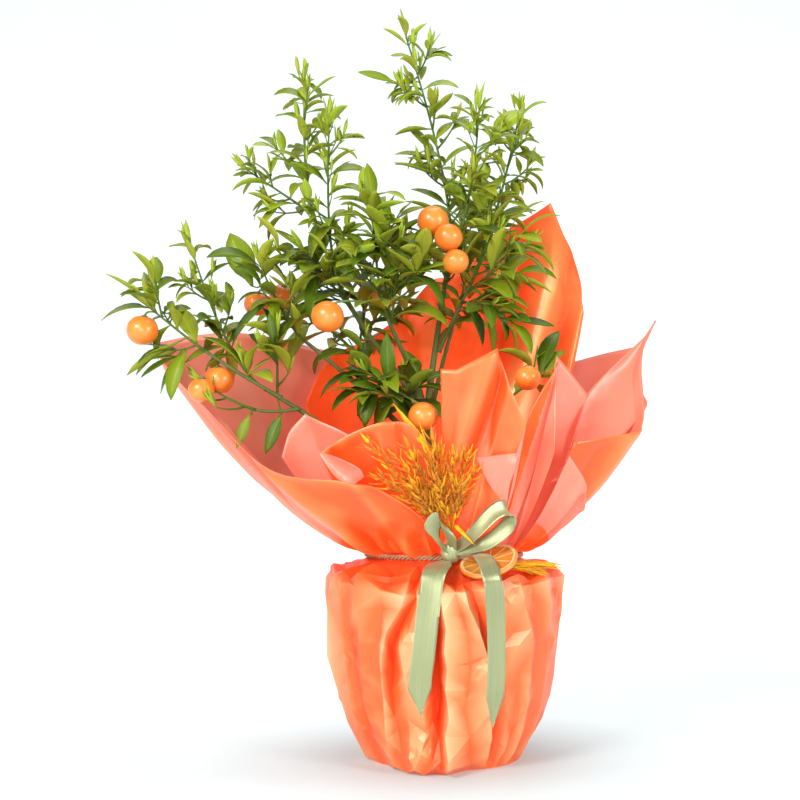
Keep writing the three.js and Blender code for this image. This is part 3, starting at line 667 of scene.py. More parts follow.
class Blade:
    """A thin closed blade of a leaf or a husk, shaped from a grid, that can be bent into any place.

    Attributes:
        grid: each vertex's place across (-0.5 to 0.5), along (0 to 1) and through (0 above, -1 under).
        faces: the corners of each face.
        under: 1 for each face of the under side, 0 for the others.
        along: faces from base to tip.
        row: how many of them each vertex is from the base.
        half: the half width at each row, as a share of the full half width.
    """

    def __init__(self, across: int, along: int, outline: Callable[[float], float]) -> None:
        """Makes the grid with its two sides and its rim.

        Args:
            across: faces from edge to edge.
            along: faces from base to tip.
            outline: the blade's half width at a share of its length.
        """
        bm = bmesh.new()
        bmesh.ops.create_grid(bm, x_segments=across, y_segments=along, size=0.5)
        bmesh.ops.solidify(bm, geom=bm.faces[:], thickness=1.0)
        bm.verts.index_update()
        self.grid = np.array([(v.co.x, v.co.y + 0.5, v.co.z) for v in bm.verts])
        self.faces = np.array([[v.index for v in f.verts] for f in bm.faces])
        self.under = np.array([int(all(v.co.z < -0.5 for v in f.verts)) for f in bm.faces])
        bm.free()
        self.along = along
        self.row = np.rint(self.grid[:, 1] * along).astype(int)
        self.half = np.array([outline(k / along) for k in range(along + 1)])

    def placed(
        self, base: Vector, heading: Vector, up: Vector, length: float, width: float,
        arch: float, fold: float, twist: float = 0.0,
    ) -> np.ndarray:
        """The blade's vertices where it stands.

        Args:
            base: where it starts.
            heading: the direction it leaves in.
            up: the side its upper face looks to.
            length: from base to tip along the blade.
            width: at its widest.
            arch: angle that it bends down by, from base to tip.
            fold: angle of each half up from the midrib.
            twist: angle that it turns by, from base to tip.

        Returns:
            An array of points.
        """
        along = heading.normalized()
        side = along.cross(up).normalized()
        top = side.cross(along)
        n = self.along
        middles = arch * ((np.arange(n) + 0.5) / n) ** BEND
        far = np.concatenate([[0.0], np.cumsum(np.cos(middles))]) / n * length
        drop = np.concatenate([[0.0], np.cumsum(np.sin(middles))]) / n * length
        lean = arch * (np.arange(n + 1) / n) ** BEND
        half = self.half * width / 2
        u = self.grid[:, 0] * 2
        r = self.row
        x = u * half[r] * math.cos(fold)
        lift = np.abs(u) * half[r] * math.sin(fold) + self.grid[:, 2] * BLADE_THICK
        turn = twist * self.grid[:, 1]
        x, lift = x * np.cos(turn) - lift * np.sin(turn), x * np.sin(turn) + lift * np.cos(turn)
        y = far[r] + lift * np.sin(lean[r])
        z = -drop[r] + lift * np.cos(lean[r])
        return np.array(base) + np.stack([x, y, z], 1) @ np.array([side, along, top])


class Pile:
    """Many bent copies of one blade, kept as arrays until they become one piece."""

    def __init__(self, blade: Blade, sides: int = 2) -> None:
        """Starts an empty pile.

        Args:
            blade: the blade that is copied.
            sides: 2 where the upper and the under side have a material each, 1 where they share one.
        """
        self.blade = blade
        self.sides = sides
        self.points: list[np.ndarray] = []
        self.tints: list[int] = []

    def add(self, points: np.ndarray, tint: int = 0) -> None:
        """Adds one copy, with the number of its tint."""
        self.points.append(points)
        self.tints.append(tint)

    def piece(self, name: str, materials: Sequence[Material]) -> Piece:
        """Joins the copies to one object with a UV map: across the blade, and along it."""
        faces, count, step = self.blade.faces, len(self.points), len(self.blade.grid)
        mesh = bpy.data.meshes.new(name)
        mesh.vertices.add(step * count)
        mesh.vertices.foreach_set("co", np.concatenate(self.points).astype(np.float32).ravel())
        corners = (faces[None] + np.arange(count)[:, None, None] * step).ravel()
        mesh.loops.add(len(corners))
        mesh.loops.foreach_set("vertex_index", corners.astype(np.int32))
        mesh.polygons.add(len(faces) * count)
        mesh.polygons.foreach_set("loop_start", np.arange(0, len(corners), 4, dtype=np.int32))
        under = self.blade.under if self.sides == 2 else np.zeros(len(faces))
        index = np.array(self.tints)[:, None] * self.sides + under[None]
        mesh.polygons.foreach_set("material_index", index.astype(np.int32).ravel())
        layer = mesh.uv_layers.new(name="UVMap")
        flat = self.blade.grid[faces.ravel()][:, :2] + np.array([0.5, 0.0])
        layer.data.foreach_set("uv", np.tile(flat, (count, 1)).astype(np.float32).ravel())
        mesh.update(calc_edges=True)
        mesh.validate()
        return link_piece(name, mesh, materials)


PETIOLE = 0.1  # a leaf stalk's share of the length, and of the width


def leaf_outline(t: float) -> float:
    """A narrow petiole, then an oval blade that is widest a little under its middle, and a point."""
    if t < PETIOLE:
        return PETIOLE
    s = (t - PETIOLE) / (1 - PETIOLE)
    return max(0.03, math.sin(math.pi * s**0.85) ** 0.8)


def husk_outline(t: float) -> float:
    """A slim husk, widest near its foot, that runs out to a long point."""
    return max(0.04, math.sin(math.pi * t**0.6) ** 0.9)


# ---- gift wrap
FILM_THICK = 0.45
FLAT = 0.5  # what lies lower than this is the paper's flat foot
SHARP = math.radians(9)  # a fold of the crushed film over this angle keeps a sharp edge


def film_grid(across: int, along: int) -> tuple[BMesh, object, dict[bmesh.types.BMVert, Pair]]:
    """A flat grid for a film.

    Args:
        The grid, its ridge layer of painted light and shade, and each vertex's shares across and along it.
        along: faces from end to end.

    Returns:
        The grid, its ridge layer, and each vertex's share of the way across and along it.
    """
    bm = bmesh.new()
    ridge = bm.verts.layers.float.new("ridge")
    bmesh.ops.create_grid(bm, x_segments=across, y_segments=along, size=0.5)
    return bm, ridge, {v: (v.co.x + 0.5, v.co.y + 0.5) for v in bm.verts}


def nearest_on(x: float, y: float, dx: float, dy: float) -> Pair:
    """The share of a line from 0, 0 to dx, dy that is nearest to x, y, and how far away that is."""
    t = clamp((x * dx + y * dy) / (dx * dx + dy * dy))
    return t, math.hypot(x - dx * t, y - dy * t)


@dataclass(frozen=True)
class Pleat:
    """A sharp line down the paper round the pot: a ridge, or a valley where it lies inwards."""

    bearings: tuple[float, float, float, float]  # at each of the heights in PLEAT_HEIGHTS
    out: tuple[float, float, float, float]  # how far it stands out there

    def at(self, height: float) -> Pair:
        """Its bearing and how far it stands out at a height."""
        rows = (self.bearings, self.out)
        bearing, out = (float(np.interp(height, PLEAT_HEIGHTS, row)) for row in rows)
        return bearing, out


PLEAT_HEIGHTS = (8.0, 53.0, 100.0, 150.0)
FRONT_PLEATS = (
    Pleat((208, 211, 210, 209), (1.5, 1.5, 1, 1)),
    Pleat((215, 218, 217, 216), (-1.5, -2.5, -1.5, -1)),
    Pleat((222, 224, 225, 222), (0.5, 0, 0.5, 1.5)),
    Pleat((234, 235, 236, 239), (2, -0.5, 0, 0)),
    Pleat((236.5, 237, 238.5, 251), (1.8, 4.2, 5.5, 3)),
    Pleat((246, 241, 241.5, 255), (-1, -1.5, -4.5, -3)),
    Pleat((253, 250, 248, 257.5), (2, 1.8, 2.5, 1.5)),
    Pleat((258, 257.5, 257, 260), (1.5, 2.5, 2.5, 2)),
    Pleat((263, 261.5, 262, 263), (-1, -3, -3, -0.5)),
    Pleat((266.5, 266, 265.5, 265.5), (-3.5, -8, -7.5, -3.5)),
    Pleat((270, 269.5, 267.8, 267.5), (3.5, 4.5, 4, 2.5)),
    Pleat((284, 279, 281, 273), (-1, -1.5, -1, 0.5)),
    Pleat((297, 291, 287, 277), (2, 3.4, 3.8, 2.6)),
    Pleat((303, 294.5, 290, 281), (-1.5, -6, -4.5, -2.5)),
    Pleat((308, 301, 297, 288), (2.5, 0.5, 0.8, 2.8)),
    Pleat((313, 309, 306, 296), (-0.5, -0.6, 1.2, -0.5)),
    Pleat((319, 315, 314, 306), (2.6, 1.6, 2.4, 1.2)),
    Pleat((326, 322, 319, 314), (-1.6, -2.2, -1.4, -1.6)),
    Pleat((338, 331, 328, 324), (1.6, 0.4, 1, 2.2)),
    Pleat((348, 341, 338, 336), (-1, -0.8, -0.6, -1)),
    Pleat((354, 350, 348, 346), (1, 0.2, 0.6, 1.2)),
)


@dataclass(frozen=True)
class Tuck:
    """A small sharp fold across the paper round the pot."""

    start: Pair  # bearing and height of one end
    end: Pair  # bearing and height of the other
    width: float  # how far it spreads
    out: float  # how far it stands out, or in where it is negative

    def push(self, bearing: float, height: float) -> float:
        """How far it moves the paper outwards at a place."""
        turn = math.radians(TUCK_RADIUS)
        x, y = self.start[0] * turn, self.start[1]
        _, off = nearest_on(bearing * turn - x, height - y, self.end[0] * turn - x, self.end[1] - y)
        return self.out * max(0.0, 1 - off / self.width)


TUCK_RADIUS = 98.0  # of the wall that bearings are measured along
TUCKS = (
    Tuck((236, 88), (246, 98), 5, 3.5),
    Tuck((234, 96), (240, 84), 4, -3),
    Tuck((247, 116), (256, 102), 6, 2.6),
    Tuck((241, 124), (250, 110), 6, -2.2),
    Tuck((246, 74), (252, 90), 6, 2.2),
    Tuck((300, 104), (316, 110), 5, 3.2),
    Tuck((304, 94), (314, 102), 5, -2.4),
    Tuck((285, 148), (292, 132), 6, 3),
    Tuck((292, 146), (300, 138), 5, 2.6),
    Tuck((293, 128), (299, 116), 6, -2.6),
    Tuck((268, 40), (258, 22), 8, 2.4),
    Tuck((262, 16), (270, 10), 6, 3),
    Tuck((290, 52), (282, 34), 7, 2.2),
    Tuck((225, 60), (232, 40), 8, -2),
    Tuck((212, 152), (232, 157), 5, 2.6),
    Tuck((216, 145), (228, 150), 4, -2.4),
    Tuck((330, 120), (338, 96), 7, 2.4),
    Tuck((204, 120), (211, 104), 7, 2.2),
    Tuck((196, 84), (207, 70), 8, 2.6),
    Tuck((318, 74), (324, 58), 7, 2.2),
)


@dataclass
class Skirt:
    """The paper round the pot, from under its foot over the shoulder to the tied neck."""

    # radius, height and share of the lift, from the middle of the foot to the neck
    profile: tuple[Triple, ...] = (
        (0, 0, 0), (45, 0, 0), (66, 0, 0), (73, 0.6, 0), (77, 4, 0), (81, 13, 0), (86.5, 28, 0),
        (93, 55, 0.1), (98.5, 90, 0.2), (101.5, 115, 0.5), (103, 130, 0.6), (103.6, 143, 0.9),
        (103.4, 151, 1), (101, 155.5, 1), (94, 158.8, 0.9), (85, 163, 0.6), (76, 168, 0.3),
        (69.5, 171.5, 0.1), (66.5, 175, 0), (65, 179.5, 0), (63.5, 179.5, 0), (62, 172, 0),
    )
    lifts: tuple[Pair, ...] = (  # how far the shoulder is lifted at each bearing
        (0, 7), (40, 3), (90, 0), (140, 3), (180, 7), (215, 6), (240, 0), (255, -2), (272, 0), (300, 3),
        (335, 8), (360, 7),
    )
    foot: tuple[Pair, ...] = (  # the radius of the foot at each bearing
        (0, 70), (20, 67), (45, 75), (70, 68), (96, 77), (120, 68), (145, 75), (166, 67), (187, 73),
        (205, 68), (221, 67), (238, 80), (251, 92), (261, 90), (269, 95), (275, 84), (283, 77),
        (297, 69), (311, 67), (330, 69), (342, 66), (360, 70),
    )
    foot_rest: float = 77.0  # the radius that the profile stands for there
    pot: tuple[Pair, ...] = (  # the pot's radius at some heights, which the paper stays outside of
        (0, 66.9), (1.5, 67.4), (130, 92.5), (132, 95.3), (147, 95.3), (150, 0)
    )
    rows: tuple[float, ...] = (  # lengths up the paper at which the facets' corners lie
        0, 12, 25, 42, 60, 78, 96, 113, 130, 146, 161, 170, 180, 190, 199, 205, 212.4, 214, 221
    )
    bend: int = 10  # the row of the sharp edge between wall and shoulder
    gathered: int = 14  # the first row that is gathered under the twine
    pleat_depth: float = 1.35  # how much deeper the pleats are than their tables say
    flatter: float = 0.35  # the share of the pleats' depth that is left on the shoulder
    zigzag: Pair = (2.2, 0.7)  # how far the shoulder's pleats go up and down, and the neck's out and in
    # how far corners are shaken up the wall, up the shoulder, aside in degrees, and out
    shake: tuple[float, float, float, float] = (5.0, 1.5, 1.2, 1.3)
    # how far the corners of smaller facets are shaken, each time the facets are split
    crushed: Pair = (0.9, 0.35)
    back: Pair = (359.0, 563.0)  # the bearings between which the pleats are drawn by a rule
    seed: int = 21  # of everything that is drawn here
    thick: float = 0.5  # the paper's thickness
    # the length up the paper at each place of the profile that it runs through
    ends: np.ndarray = field(init=False)

    def all_pleats(self) -> list[Pleat]:
        """The front's pleats and others, drawn by a seeded rule, round the back, by their bearing."""
        rng = random.Random(self.seed)
        made = list(FRONT_PLEATS)
        bearing, ridge = self.back[0], False
        while bearing < self.back[1]:
            drift = [rng.uniform(-3.4, 3.4) for _ in range(4)]
            size = (1 if ridge else -1) * rng.uniform(1.0, 4.6)
            out = [size * rng.uniform(0.1, 1.2) for _ in range(4)]
            turned = bearing if bearing < 360 else bearing - 360
            made.append(Pleat(tuple(turned + d for d in drift), tuple(out)))
            bearing += rng.uniform(7.2, 13.5)
            ridge = not ridge
        return sorted(made, key=lambda p: p.bearings[1])

    def stand(self, place: Vector, bearing: float, along: float, folds: float, rise: float) -> Vector:
        """Where a point of the profile stands.

        Args:
            place: its radius as x and its height as z.
            bearing: in degrees.
            along: its length up the paper.
            folds: how far it lies out.
            rise: how far it lies up.

        Returns:
            The place, outside the pot, in metres.
        """
        angle, turned = math.radians(bearing), bearing % 360
        foot = float(np.interp(turned, *zip(*self.foot))) - self.foot_rest
        share = float(np.interp(along, self.ends, [p[2] for p in self.profile[2:]]))
        height = place.z + rise + share * float(np.interp(turned, *zip(*self.lifts)))
        out = place.x + foot * (1 - smoothstep(place.z, 3, 48)) + folds
        out = max(out, float(np.interp(height, *zip(*self.pot))))
        return mm(out * math.cos(angle), out * math.sin(angle), max(0.0, height))

    def crush(self, bm: BMesh, spread: float, rng: random.Random) -> None:
        """Splits every facet into four, shakes the new corners where the paper is crushed and paints light
        and shade by how far they move.

        Args:
            bm: the paper.
            spread: how far a corner moves at most.
            rng: draws how far it moves.
        """
        bmesh.ops.subdivide_edges(bm, edges=bm.edges[:], cuts=1, use_grid_fill=True)
        bm.normal_update()
        ridge = bm.verts.layers.float["ridge"]
        for v in bm.verts:
            place = v.co / MM
            share = smoothstep(noise.noise(place * 0.024), -0.12, 0.2) * smoothstep(place.z, 3, 20)
            out = rng.uniform(-spread, spread) * share * (1 - smoothstep(place.z, 166, 172))
            v.co += v.normal * out * MM
            # painted highlight where a corner moves out, painted shade where it moves in
            v[ridge] += 0.08 * out

    def build(self) -> Piece:
        """Sets a corner on every pleat at every row, paints light and shade by the folds, crushes the paper
        between and thickens it.
        """
        outline = Path.through([mm(r, 0, z) for r, z, _ in self.profile[2:]])
        self.ends = np.array(outline.lengths[::10]) / MM
        rng = random.Random(self.seed + 1)
        pleats = self.all_pleats()
        count, tall = len(pleats), len(self.rows) - 1
        shaken = [[[rng.uniform(-1, 1) for _ in range(3)] for _ in pleats] for _ in self.rows]
        up_wall, up_shoulder, turn, push = self.shake
        bm, ridge, places = film_grid(count, tall)
        for v, (a, b) in places.items():
            i, j = round(a * count), round(b * tall)
            aside, up, out = shaken[j][i % count]
            way = 1 if i % 2 else -1
            depth = 1.0 if j <= self.bend else self.flatter
            along = self.rows[j]
            if 0 < j < self.gathered:
                along += up * (up_wall if j < self.bend else up_shoulder)
            place = outline.at(along * MM / outline.length) / MM
            bearing, stand = pleats[i % count].at(place.z)
            bearing += turn * aside + 360 * (i // count)
            folds = (stand * self.pleat_depth + push * out) * min(1.0, along / 14) * depth
            folds += sum(t.push(bearing % 360, place.z) for t in TUCKS) * depth
            rise = 0.0 if j <= self.bend else 3.0 * out + way * self.zigzag[0]
            if j >= self.gathered:
                folds, rise = way * self.zigzag[1], 0.0
            v.co = self.stand(place, bearing, along, folds, rise)
            # painted shade over the shoulder and a painted highlight along the bend; painted highlights on
            # folds that stand out, painted shade in those that lie in
            tone = -0.45 * (j > self.bend) + 0.2 * (j == self.bend)
            v[ridge] = clamp(0.5 + 0.08 * (folds + rise) + tone)
        bmesh.ops.remove_doubles(bm, verts=bm.verts[:], dist=1e-6)
        bmesh.ops.triangulate(bm, faces=bm.faces[:])
        for spread in self.crushed:
            self.crush(bm, spread, rng)
        middle = [e for e in bm.edges if e.is_boundary and e.verts[0].co.z < 50 * MM]
        bmesh.ops.holes_fill(bm, edges=middle, sides=0)
        bmesh.ops.recalc_face_normals(bm, faces=bm.faces[:])
        if sum(f.normal.z for f in bm.faces if f.calc_center_median().z < FLAT * MM) > 0:
            bmesh.ops.reverse_faces(bm, faces=bm.faces[:])
        thicken(bm, self.thick * MM)
        for edge in bm.edges:
            edge.smooth = edge.calc_face_angle(0.0) < SHARP
        piece = piece_of("skirt_paper", bm, [MATERIALS[Film.CRUSHED]], outward=False)
        return carry(piece, "orange_paper", "wrap_skirt")


@dataclass(frozen=True)
class Crease:
    """A crease in a sheet, between two places (u across the sheet and v from neck to edge, 0 to 1)."""

    start: Pair  # u and v where it starts
    end: Pair  # u and v where it ends
    width: float  # its spread as a share of u
    depth: float  # how far it stands out, or in where it is negative

    def push(self, u: float, v: float) -> float:
        """How far it moves the paper outwards at a place."""
        x, y = self.start
        t, off = nearest_on(u - x, v - y, self.end[0] - x, self.end[1] - y)
        fade = 1.0 if self.end[1] > TO_EDGE else 1 - t * t
        if y > FROM_NECK:
            fade *= smoothstep(t, -0.2, 0.3)
        return fade * self.depth * max(0.0, 1 - off / self.width) ** 1.4


TO_EDGE = 0.85  # a crease that ends past this v runs out over the free edge
FROM_NECK = 0.15  # and one that starts past this v fades in


@dataclass
class Sheet:
    """A sheet of film that leaves the neck along an arc and fans out."""

    node: str  # the solid it stands for
    layer: int  # 0 for the outermost at the neck
    neck: Pair  # its first and last bearing at the neck, in degrees
    ribs: tuple[Triple, ...]  # bearing, reach from the pot's axis and height at the free edge
    outside: Film  # the film's colour on the outside
    inside: Film  # its colour on the inside
    corners: tuple[int, ...] = ()  # which ribs end in a sharp corner
    creases: tuple[Crease, ...] = ()  # its own creases
    ripple: float = 2.0  # height of its soft waves
    curl: float = 1.5  # how far the free edge turns outwards
    # the first and last u, and the first and last v, where the outside shows the inside's colour
    # because a second layer lies on it
    swap: tuple[float, float, float, float] = (0, 0, 0, 0)
    slant: float = 0.0  # how much narrower that is at the neck than at the free edge, as a share of u
    steps: int = 44  # faces from the neck to the free edge
    per_rib: int = 10  # faces between two ribs

    def rib(self, u: float) -> list[float]:
        """The free edge's bearing, reach and height at u, smooth between ribs except at corners."""
        last = len(self.ribs) - 1
        at = clamp(u) * last
        i = min(int(at), last - 1)
        t = at - i
        p0, p1 = self.ribs[i], self.ribs[i + 1]
        before = self.ribs[i - 1] if i > 0 and i not in self.corners else None
        after = self.ribs[i + 2] if i + 2 <= last and i + 1 not in self.corners else None
        values = []
        for k in range(3):
            m0 = (p1[k] - before[k]) / 2 if before else p1[k] - p0[k]
            m1 = (after[k] - p0[k]) / 2 if after else p1[k] - p0[k]
            h = (2 * t**3 - 3 * t**2 + 1) * p0[k] + (t**3 - 2 * t**2 + t) * m0
            values.append(h + (3 * t**2 - 2 * t**3) * p1[k] + (t**3 - t**2) * m1)
        return values

    def point(self, u: float, v: float) -> Vector:
        """The smooth sheet's place at u across it and v from the neck to the free edge, in metres."""
        bearing, reach, top = self.rib(u)
        start = NECK_RADIUS - 0.6 - self.layer * LAYER_GAP
        angle = math.radians(lerp(lerp(*self.neck, u), bearing, min(1.0, 1.6 * v)))
        out = start + (reach - start) * v**FLARE_REACH
        height = SHEET_FOOT + (top - SHEET_FOOT) * v**FLARE_RISE
        return mm(out * math.cos(angle), out * math.sin(angle), height)

    def relief(self, u: float, v: float, seed: float) -> float:
        """How far waves, gathers and creases move the film outwards."""
        span = abs(self.neck[1] - self.neck[0])
        gathers = 1 - 2 * abs(math.sin(u * span * 0.21 + math.sin(4 * u + seed)))
        fade = smoothstep(v, 0.0, 0.12) * (1 - smoothstep(v, 0.25, 0.7))
        wave = noise.noise(Vector((u * span / 26, v * 2.2, seed)))
        fine = abs(noise.noise(Vector((u * span / 11, v * 3.2 + u, seed + 9))))
        made = 2.2 * gathers * fade + self.ripple * (wave + 0.5 * fine) * smoothstep(v, 0.05, 0.4)
        facets = noise.voronoi(Vector((u * span / 8, v * 6, seed)))[0][0]
        made += 1.6 * (0.5 - facets) * (1 - smoothstep(v, 0.2, 0.6))
        made += self.curl * smoothstep(v, 0.86, 1.0) ** 2
        return made + sum(c.push(u, v) for c in self.creases)

    def build(self, seed: float) -> Piece:
        """Bends a grid onto the sheet's form, paints highlights and shade by its relief, and gives it its
        thickness and two colours.
        """
        bm, ridge, places = film_grid((len(self.ribs) - 1) * self.per_rib, self.steps)
        for v, (a, b) in places.items():
            v.co = self.point(a, b)
        bm.normal_update()
        for v, (a, b) in places.items():
            out = self.relief(a, b, seed)
            v.co = v.co + v.normal * out * MM
            # painted highlight where the relief stands out, painted shade where it lies in
            v[ridge] = clamp(0.5 + 0.038 * out)
        for face in bm.faces:
            a, b = np.mean([places[v] for v in face.verts], axis=0)
            last = self.swap[1] - self.slant * (1 - b)
            face.material_index = int(self.swap[0] < a < last and self.swap[2] < b < self.swap[3])
        for face in thicken(bm, FILM_THICK * MM):
            face.material_index = 1
        # on the inner side the painted highlight and shade swap, as its relief faces the other way
        for v in bm.verts:
            if v not in places:
                v[ridge] = 1 - v[ridge]
        colours = [MATERIALS[self.outside], MATERIALS[self.inside]]
        piece = piece_of(self.node + "_film", bm, colours, outward=False)
        return carry(piece, self.inside.slot(), self.node)


@dataclass(frozen=True)
class Patch:
    """A turned-over stretch of pink film between two curves that start at one place."""

    name: str
    left: tuple[Triple, ...]  # places along its left edge
    right: tuple[Triple, ...]  # places along its right edge, from the same start
    hollow: float  # how far its middle lies behind its edges

    def build(self) -> Piece:
        """Stretches a grid between the two curves and gives it its thickness."""
        left, right = Path.through(mms(self.left)), Path.through(mms(self.right))
        bm, ridge, places = film_grid(20, 40)
        for v, (a, back) in places.items():
            v[ridge] = 0.5
            b = 1 - back
            wide = left.at(b).lerp(right.at(b), a)
            room = min(1.0, (right.at(b) - left.at(b)).length / 0.02)
            wave = noise.noise(wide * 45) * 1.2 + abs(noise.noise(wide * 110)) * 0.8
            bulge = self.hollow * 4 * a * (1 - a) * math.sin(math.pi * clamp(b + 0.15) / 1.15) ** 0.8
            v.co = wide - FRONT * (bulge + wave * min(1.0, 8 * a * (1 - a))) * room * MM
        bmesh.ops.recalc_face_normals(bm, faces=bm.faces[:])
        thicken(bm, FILM_THICK * MM)
        return carry(piece_of(self.name, bm, [MATERIALS[Film.PINK]]), Film.PINK.slot())


PATCHES = (
    Patch(
        "right_horn_film",
        ((196, 25.5, 389), (185, 15, 373), (171, 8, 360), (127, -8, 317), (95, -22, 266), (80, -30, 236)),
        ((197, 22.5, 388), (184.5, 13, 366), (180, 6, 345), (179, -4, 320), (178, -11, 302), (122, -36, 246)),
        4.0,
    ),
    Patch(
        "front_flap_film",
        ((23, -97.5, 259.5), (28, -95, 249), (34, -92, 238), (47, -82.5, 221)),
        ((60, -90, 264), (57, -90.5, 252), (52, -88, 238), (49.5, -83, 221)),
        -1.5,
    ),
    Patch(
        "front_roll_film",
        ((-105, -107, 263), (-98, -110, 252), (-88, -113, 241), (-76, -114, 237)),
        ((-103, -107.5, 263.5), (-88, -117, 258), (-72, -120, 250), (-68, -117, 243)),
        5.0,
    ),
)


NECK_RADIUS = 66.0
LAYER_GAP = 2.3  # between the sheets' layers at the neck
SHEET_FOOT = 178.3  # the height they start at
FLARE_REACH = 0.81  # how early they fan out
FLARE_RISE = 1.3  # how late they rise

SHEETS = (
    Sheet(
        "wrap_left", 0, (122, 262),
        ((126, 168, 371), (150, 201, 385), (166, 230, 381), (180, 261, 366), (199, 214, 303), (216, 178, 251),
         (234, 146, 241), (243, 131, 236), (252, 113, 222), (259, 96, 207)),
        Film.ORANGE, Film.PINK, (3,),
        (Crease((0.35, 0.3), (0.36, 0.95), 0.04, 5), Crease((0.24, 0.5), (0.18, 0.98), 0.05, -4),
         Crease((0.49, 0.25), (0.44, 0.9), 0.035, -5), Crease((0.66, 0.03), (0.54, 0.9), 0.06, 4.5),
         Crease((0.7, 0.03), (0.62, 0.6), 0.035, -6), Crease((0.9, 0.02), (0.7, 0.95), 0.07, 4),
         Crease((0.8, 0.02), (0.74, 0.5), 0.04, -4)),
        2.2, 2.0,
    ),
    Sheet(
        "wrap_left_inner", 2, (203, 233),
        ((203, 152, 261), (204, 146, 282), (207, 134, 298), (224, 116, 278), (233, 111, 251)),
        Film.PINK, Film.PINK, (2,), (Crease((0.9, 0.5), (0.75, 1.0), 0.15, -4),), 1.2,
    ),
    Sheet(
        "wrap_front_left", 1, (224, 268),
        ((225, 148, 263), (232, 136, 277), (244, 125, 288), (253, 113, 288), (262, 92, 266)),
        Film.ORANGE, Film.PINK, (3,),
        (Crease((0.22, 0.2), (0.1, 0.95), 0.1, -4), Crease((0.55, 0.2), (0.47, 0.9), 0.08, 3.5),
         Crease((0.72, 0.15), (0.66, 0.98), 0.06, -4)), 1.6, 3.0,
    ),
    Sheet(
        "wrap_front_right", 0, (265, 304),
        ((267, 104, 332), (274, 108, 331), (291, 113, 349), (296, 113, 322), (301, 115, 299), (304, 115, 284),
         (302, 110, 263)),
        Film.ORANGE, Film.PINK, (1, 2),
        (Crease((0.1, 0.15), (0.42, 0.95), 0.09, -7.5), Crease((0.02, 0.2), (0.3, 0.95), 0.09, 3.0),
         Crease((0.75, 0.3), (0.6, 0.8), 0.14, 3.0)), 1.2, 1.0,
    ),
    Sheet(
        "wrap_right_front", 1, (307, 322),
        ((306, 102, 249), (311, 103, 291), (318, 107, 315), (327, 114, 343), (324, 118, 314),
         (318, 121, 264)),
        Film.PINK, Film.ORANGE, (3,),
        (Crease((0.45, 0.2), (0.56, 0.95), 0.16, 2.5), Crease((0.78, 0.1), (0.8, 0.9), 0.2, 6)), 1.0, 0.4,
        (0.0, 0.55, 0.2, 1.0), 0.7,
    ),
    Sheet(
        "wrap_right_mid", 2, (329, 350),
        ((335, 106, 349), (339, 113, 339), (347, 129, 315), (342, 122, 285)),
        Film.PINK, Film.PINK, (2,), (), 1.0,
    ),
    Sheet(
        "wrap_right", 1, (325, 367),
        ((325, 131, 273), (336, 150, 278), (348, 174, 286), (355, 178, 306), (362, 180, 357),
         (367, 198, 389)),
        Film.ORANGE, Film.PINK, (2, 5),
        (Crease((0.3, 0.2), (0.35, 0.95), 0.1, 4), Crease((0.1, 0.1), (0.2, 0.9), 0.08, -3)), 1.4, 1.0,
    ),
    Sheet(
        "wrap_right_low", 0, (322, 342),
        ((320, 132, 262), (329, 136, 239), (335, 130, 217)),
        Film.PINK, Film.ORANGE, (),
        (Crease((0.5, 0.2), (0.45, 0.9), 0.2, 3), Crease((0.75, 0.3), (0.7, 0.95), 0.12, -3)), 2.2, 2.0,
        (0.0, 1.0, 0.0, 0.4),
    ),
    Sheet(
        "wrap_back_pink", 0, (370, 404),
        ((370, 180, 325), (377, 192, 368), (389, 178, 364), (404, 180, 360)),
        Film.ORANGE, Film.PINK, (1,), (), 2.0,
    ),
    Sheet(
        "wrap_back_right", 1, (38, 96),
        ((35, 154, 373), (34, 168, 421), (38, 168, 463), (42, 167, 487), (48, 169, 522), (63, 160, 500),
         (78, 156, 484), (90, 150, 437)),
        Film.PINK, Film.ORANGE, (4,),
        # the narrow crease on the broad one deepens its crest so that it takes the painted glint
        (Crease((0.66, 0.3), (0.46, 0.88), 0.2, -9), Crease((0.66, 0.3), (0.47, 0.88), 0.07, -5),
         Crease((0.8, 0.35), (0.68, 0.9), 0.1, 8), Crease((0.5, 0.88), (0.36, 0.9), 0.06, 3),
         Crease((0.12, 0.25), (0.1, 0.98), 0.2, -6)), 1.6, 0.5,
    ),
    Sheet(
        "wrap_back_left", 2, (88, 155),
        ((88, 134, 448), (94, 136, 442), (108, 139, 405), (123, 144, 380), (137, 146, 362), (155, 141, 314)),
        Film.PINK, Film.ORANGE, (), (Crease((0.3, 0.3), (0.35, 0.95), 0.08, 4),), 2.4,
    ),
)


# ---- trunk and boughs
@dataclass(frozen=True)
class Limb:
    """A limb of the tree: its middle line and its radius from foot to tip."""

    knots: tuple[Triple, ...]  # the places it is drawn through (the trunk) or by (a bough)
    radius: Pair  # at its foot and at its tip
    flare: float = 0.0  # what the foot adds to the radius, gone a few centimetres up

    def path(self) -> Path:
        """The limb's middle line."""
        points = mms(self.knots)
        return Path.arc(*points) if len(points) == 3 else Path.through(points)

    def radius_at(self, t: float) -> float:
        """The radius at a share of the length, in metres."""
        swell = self.flare * math.exp(-t * 22) if self.flare else 0.6 * math.exp(-t * 14)
        return (lerp(*self.radius, t) + swell) * MM


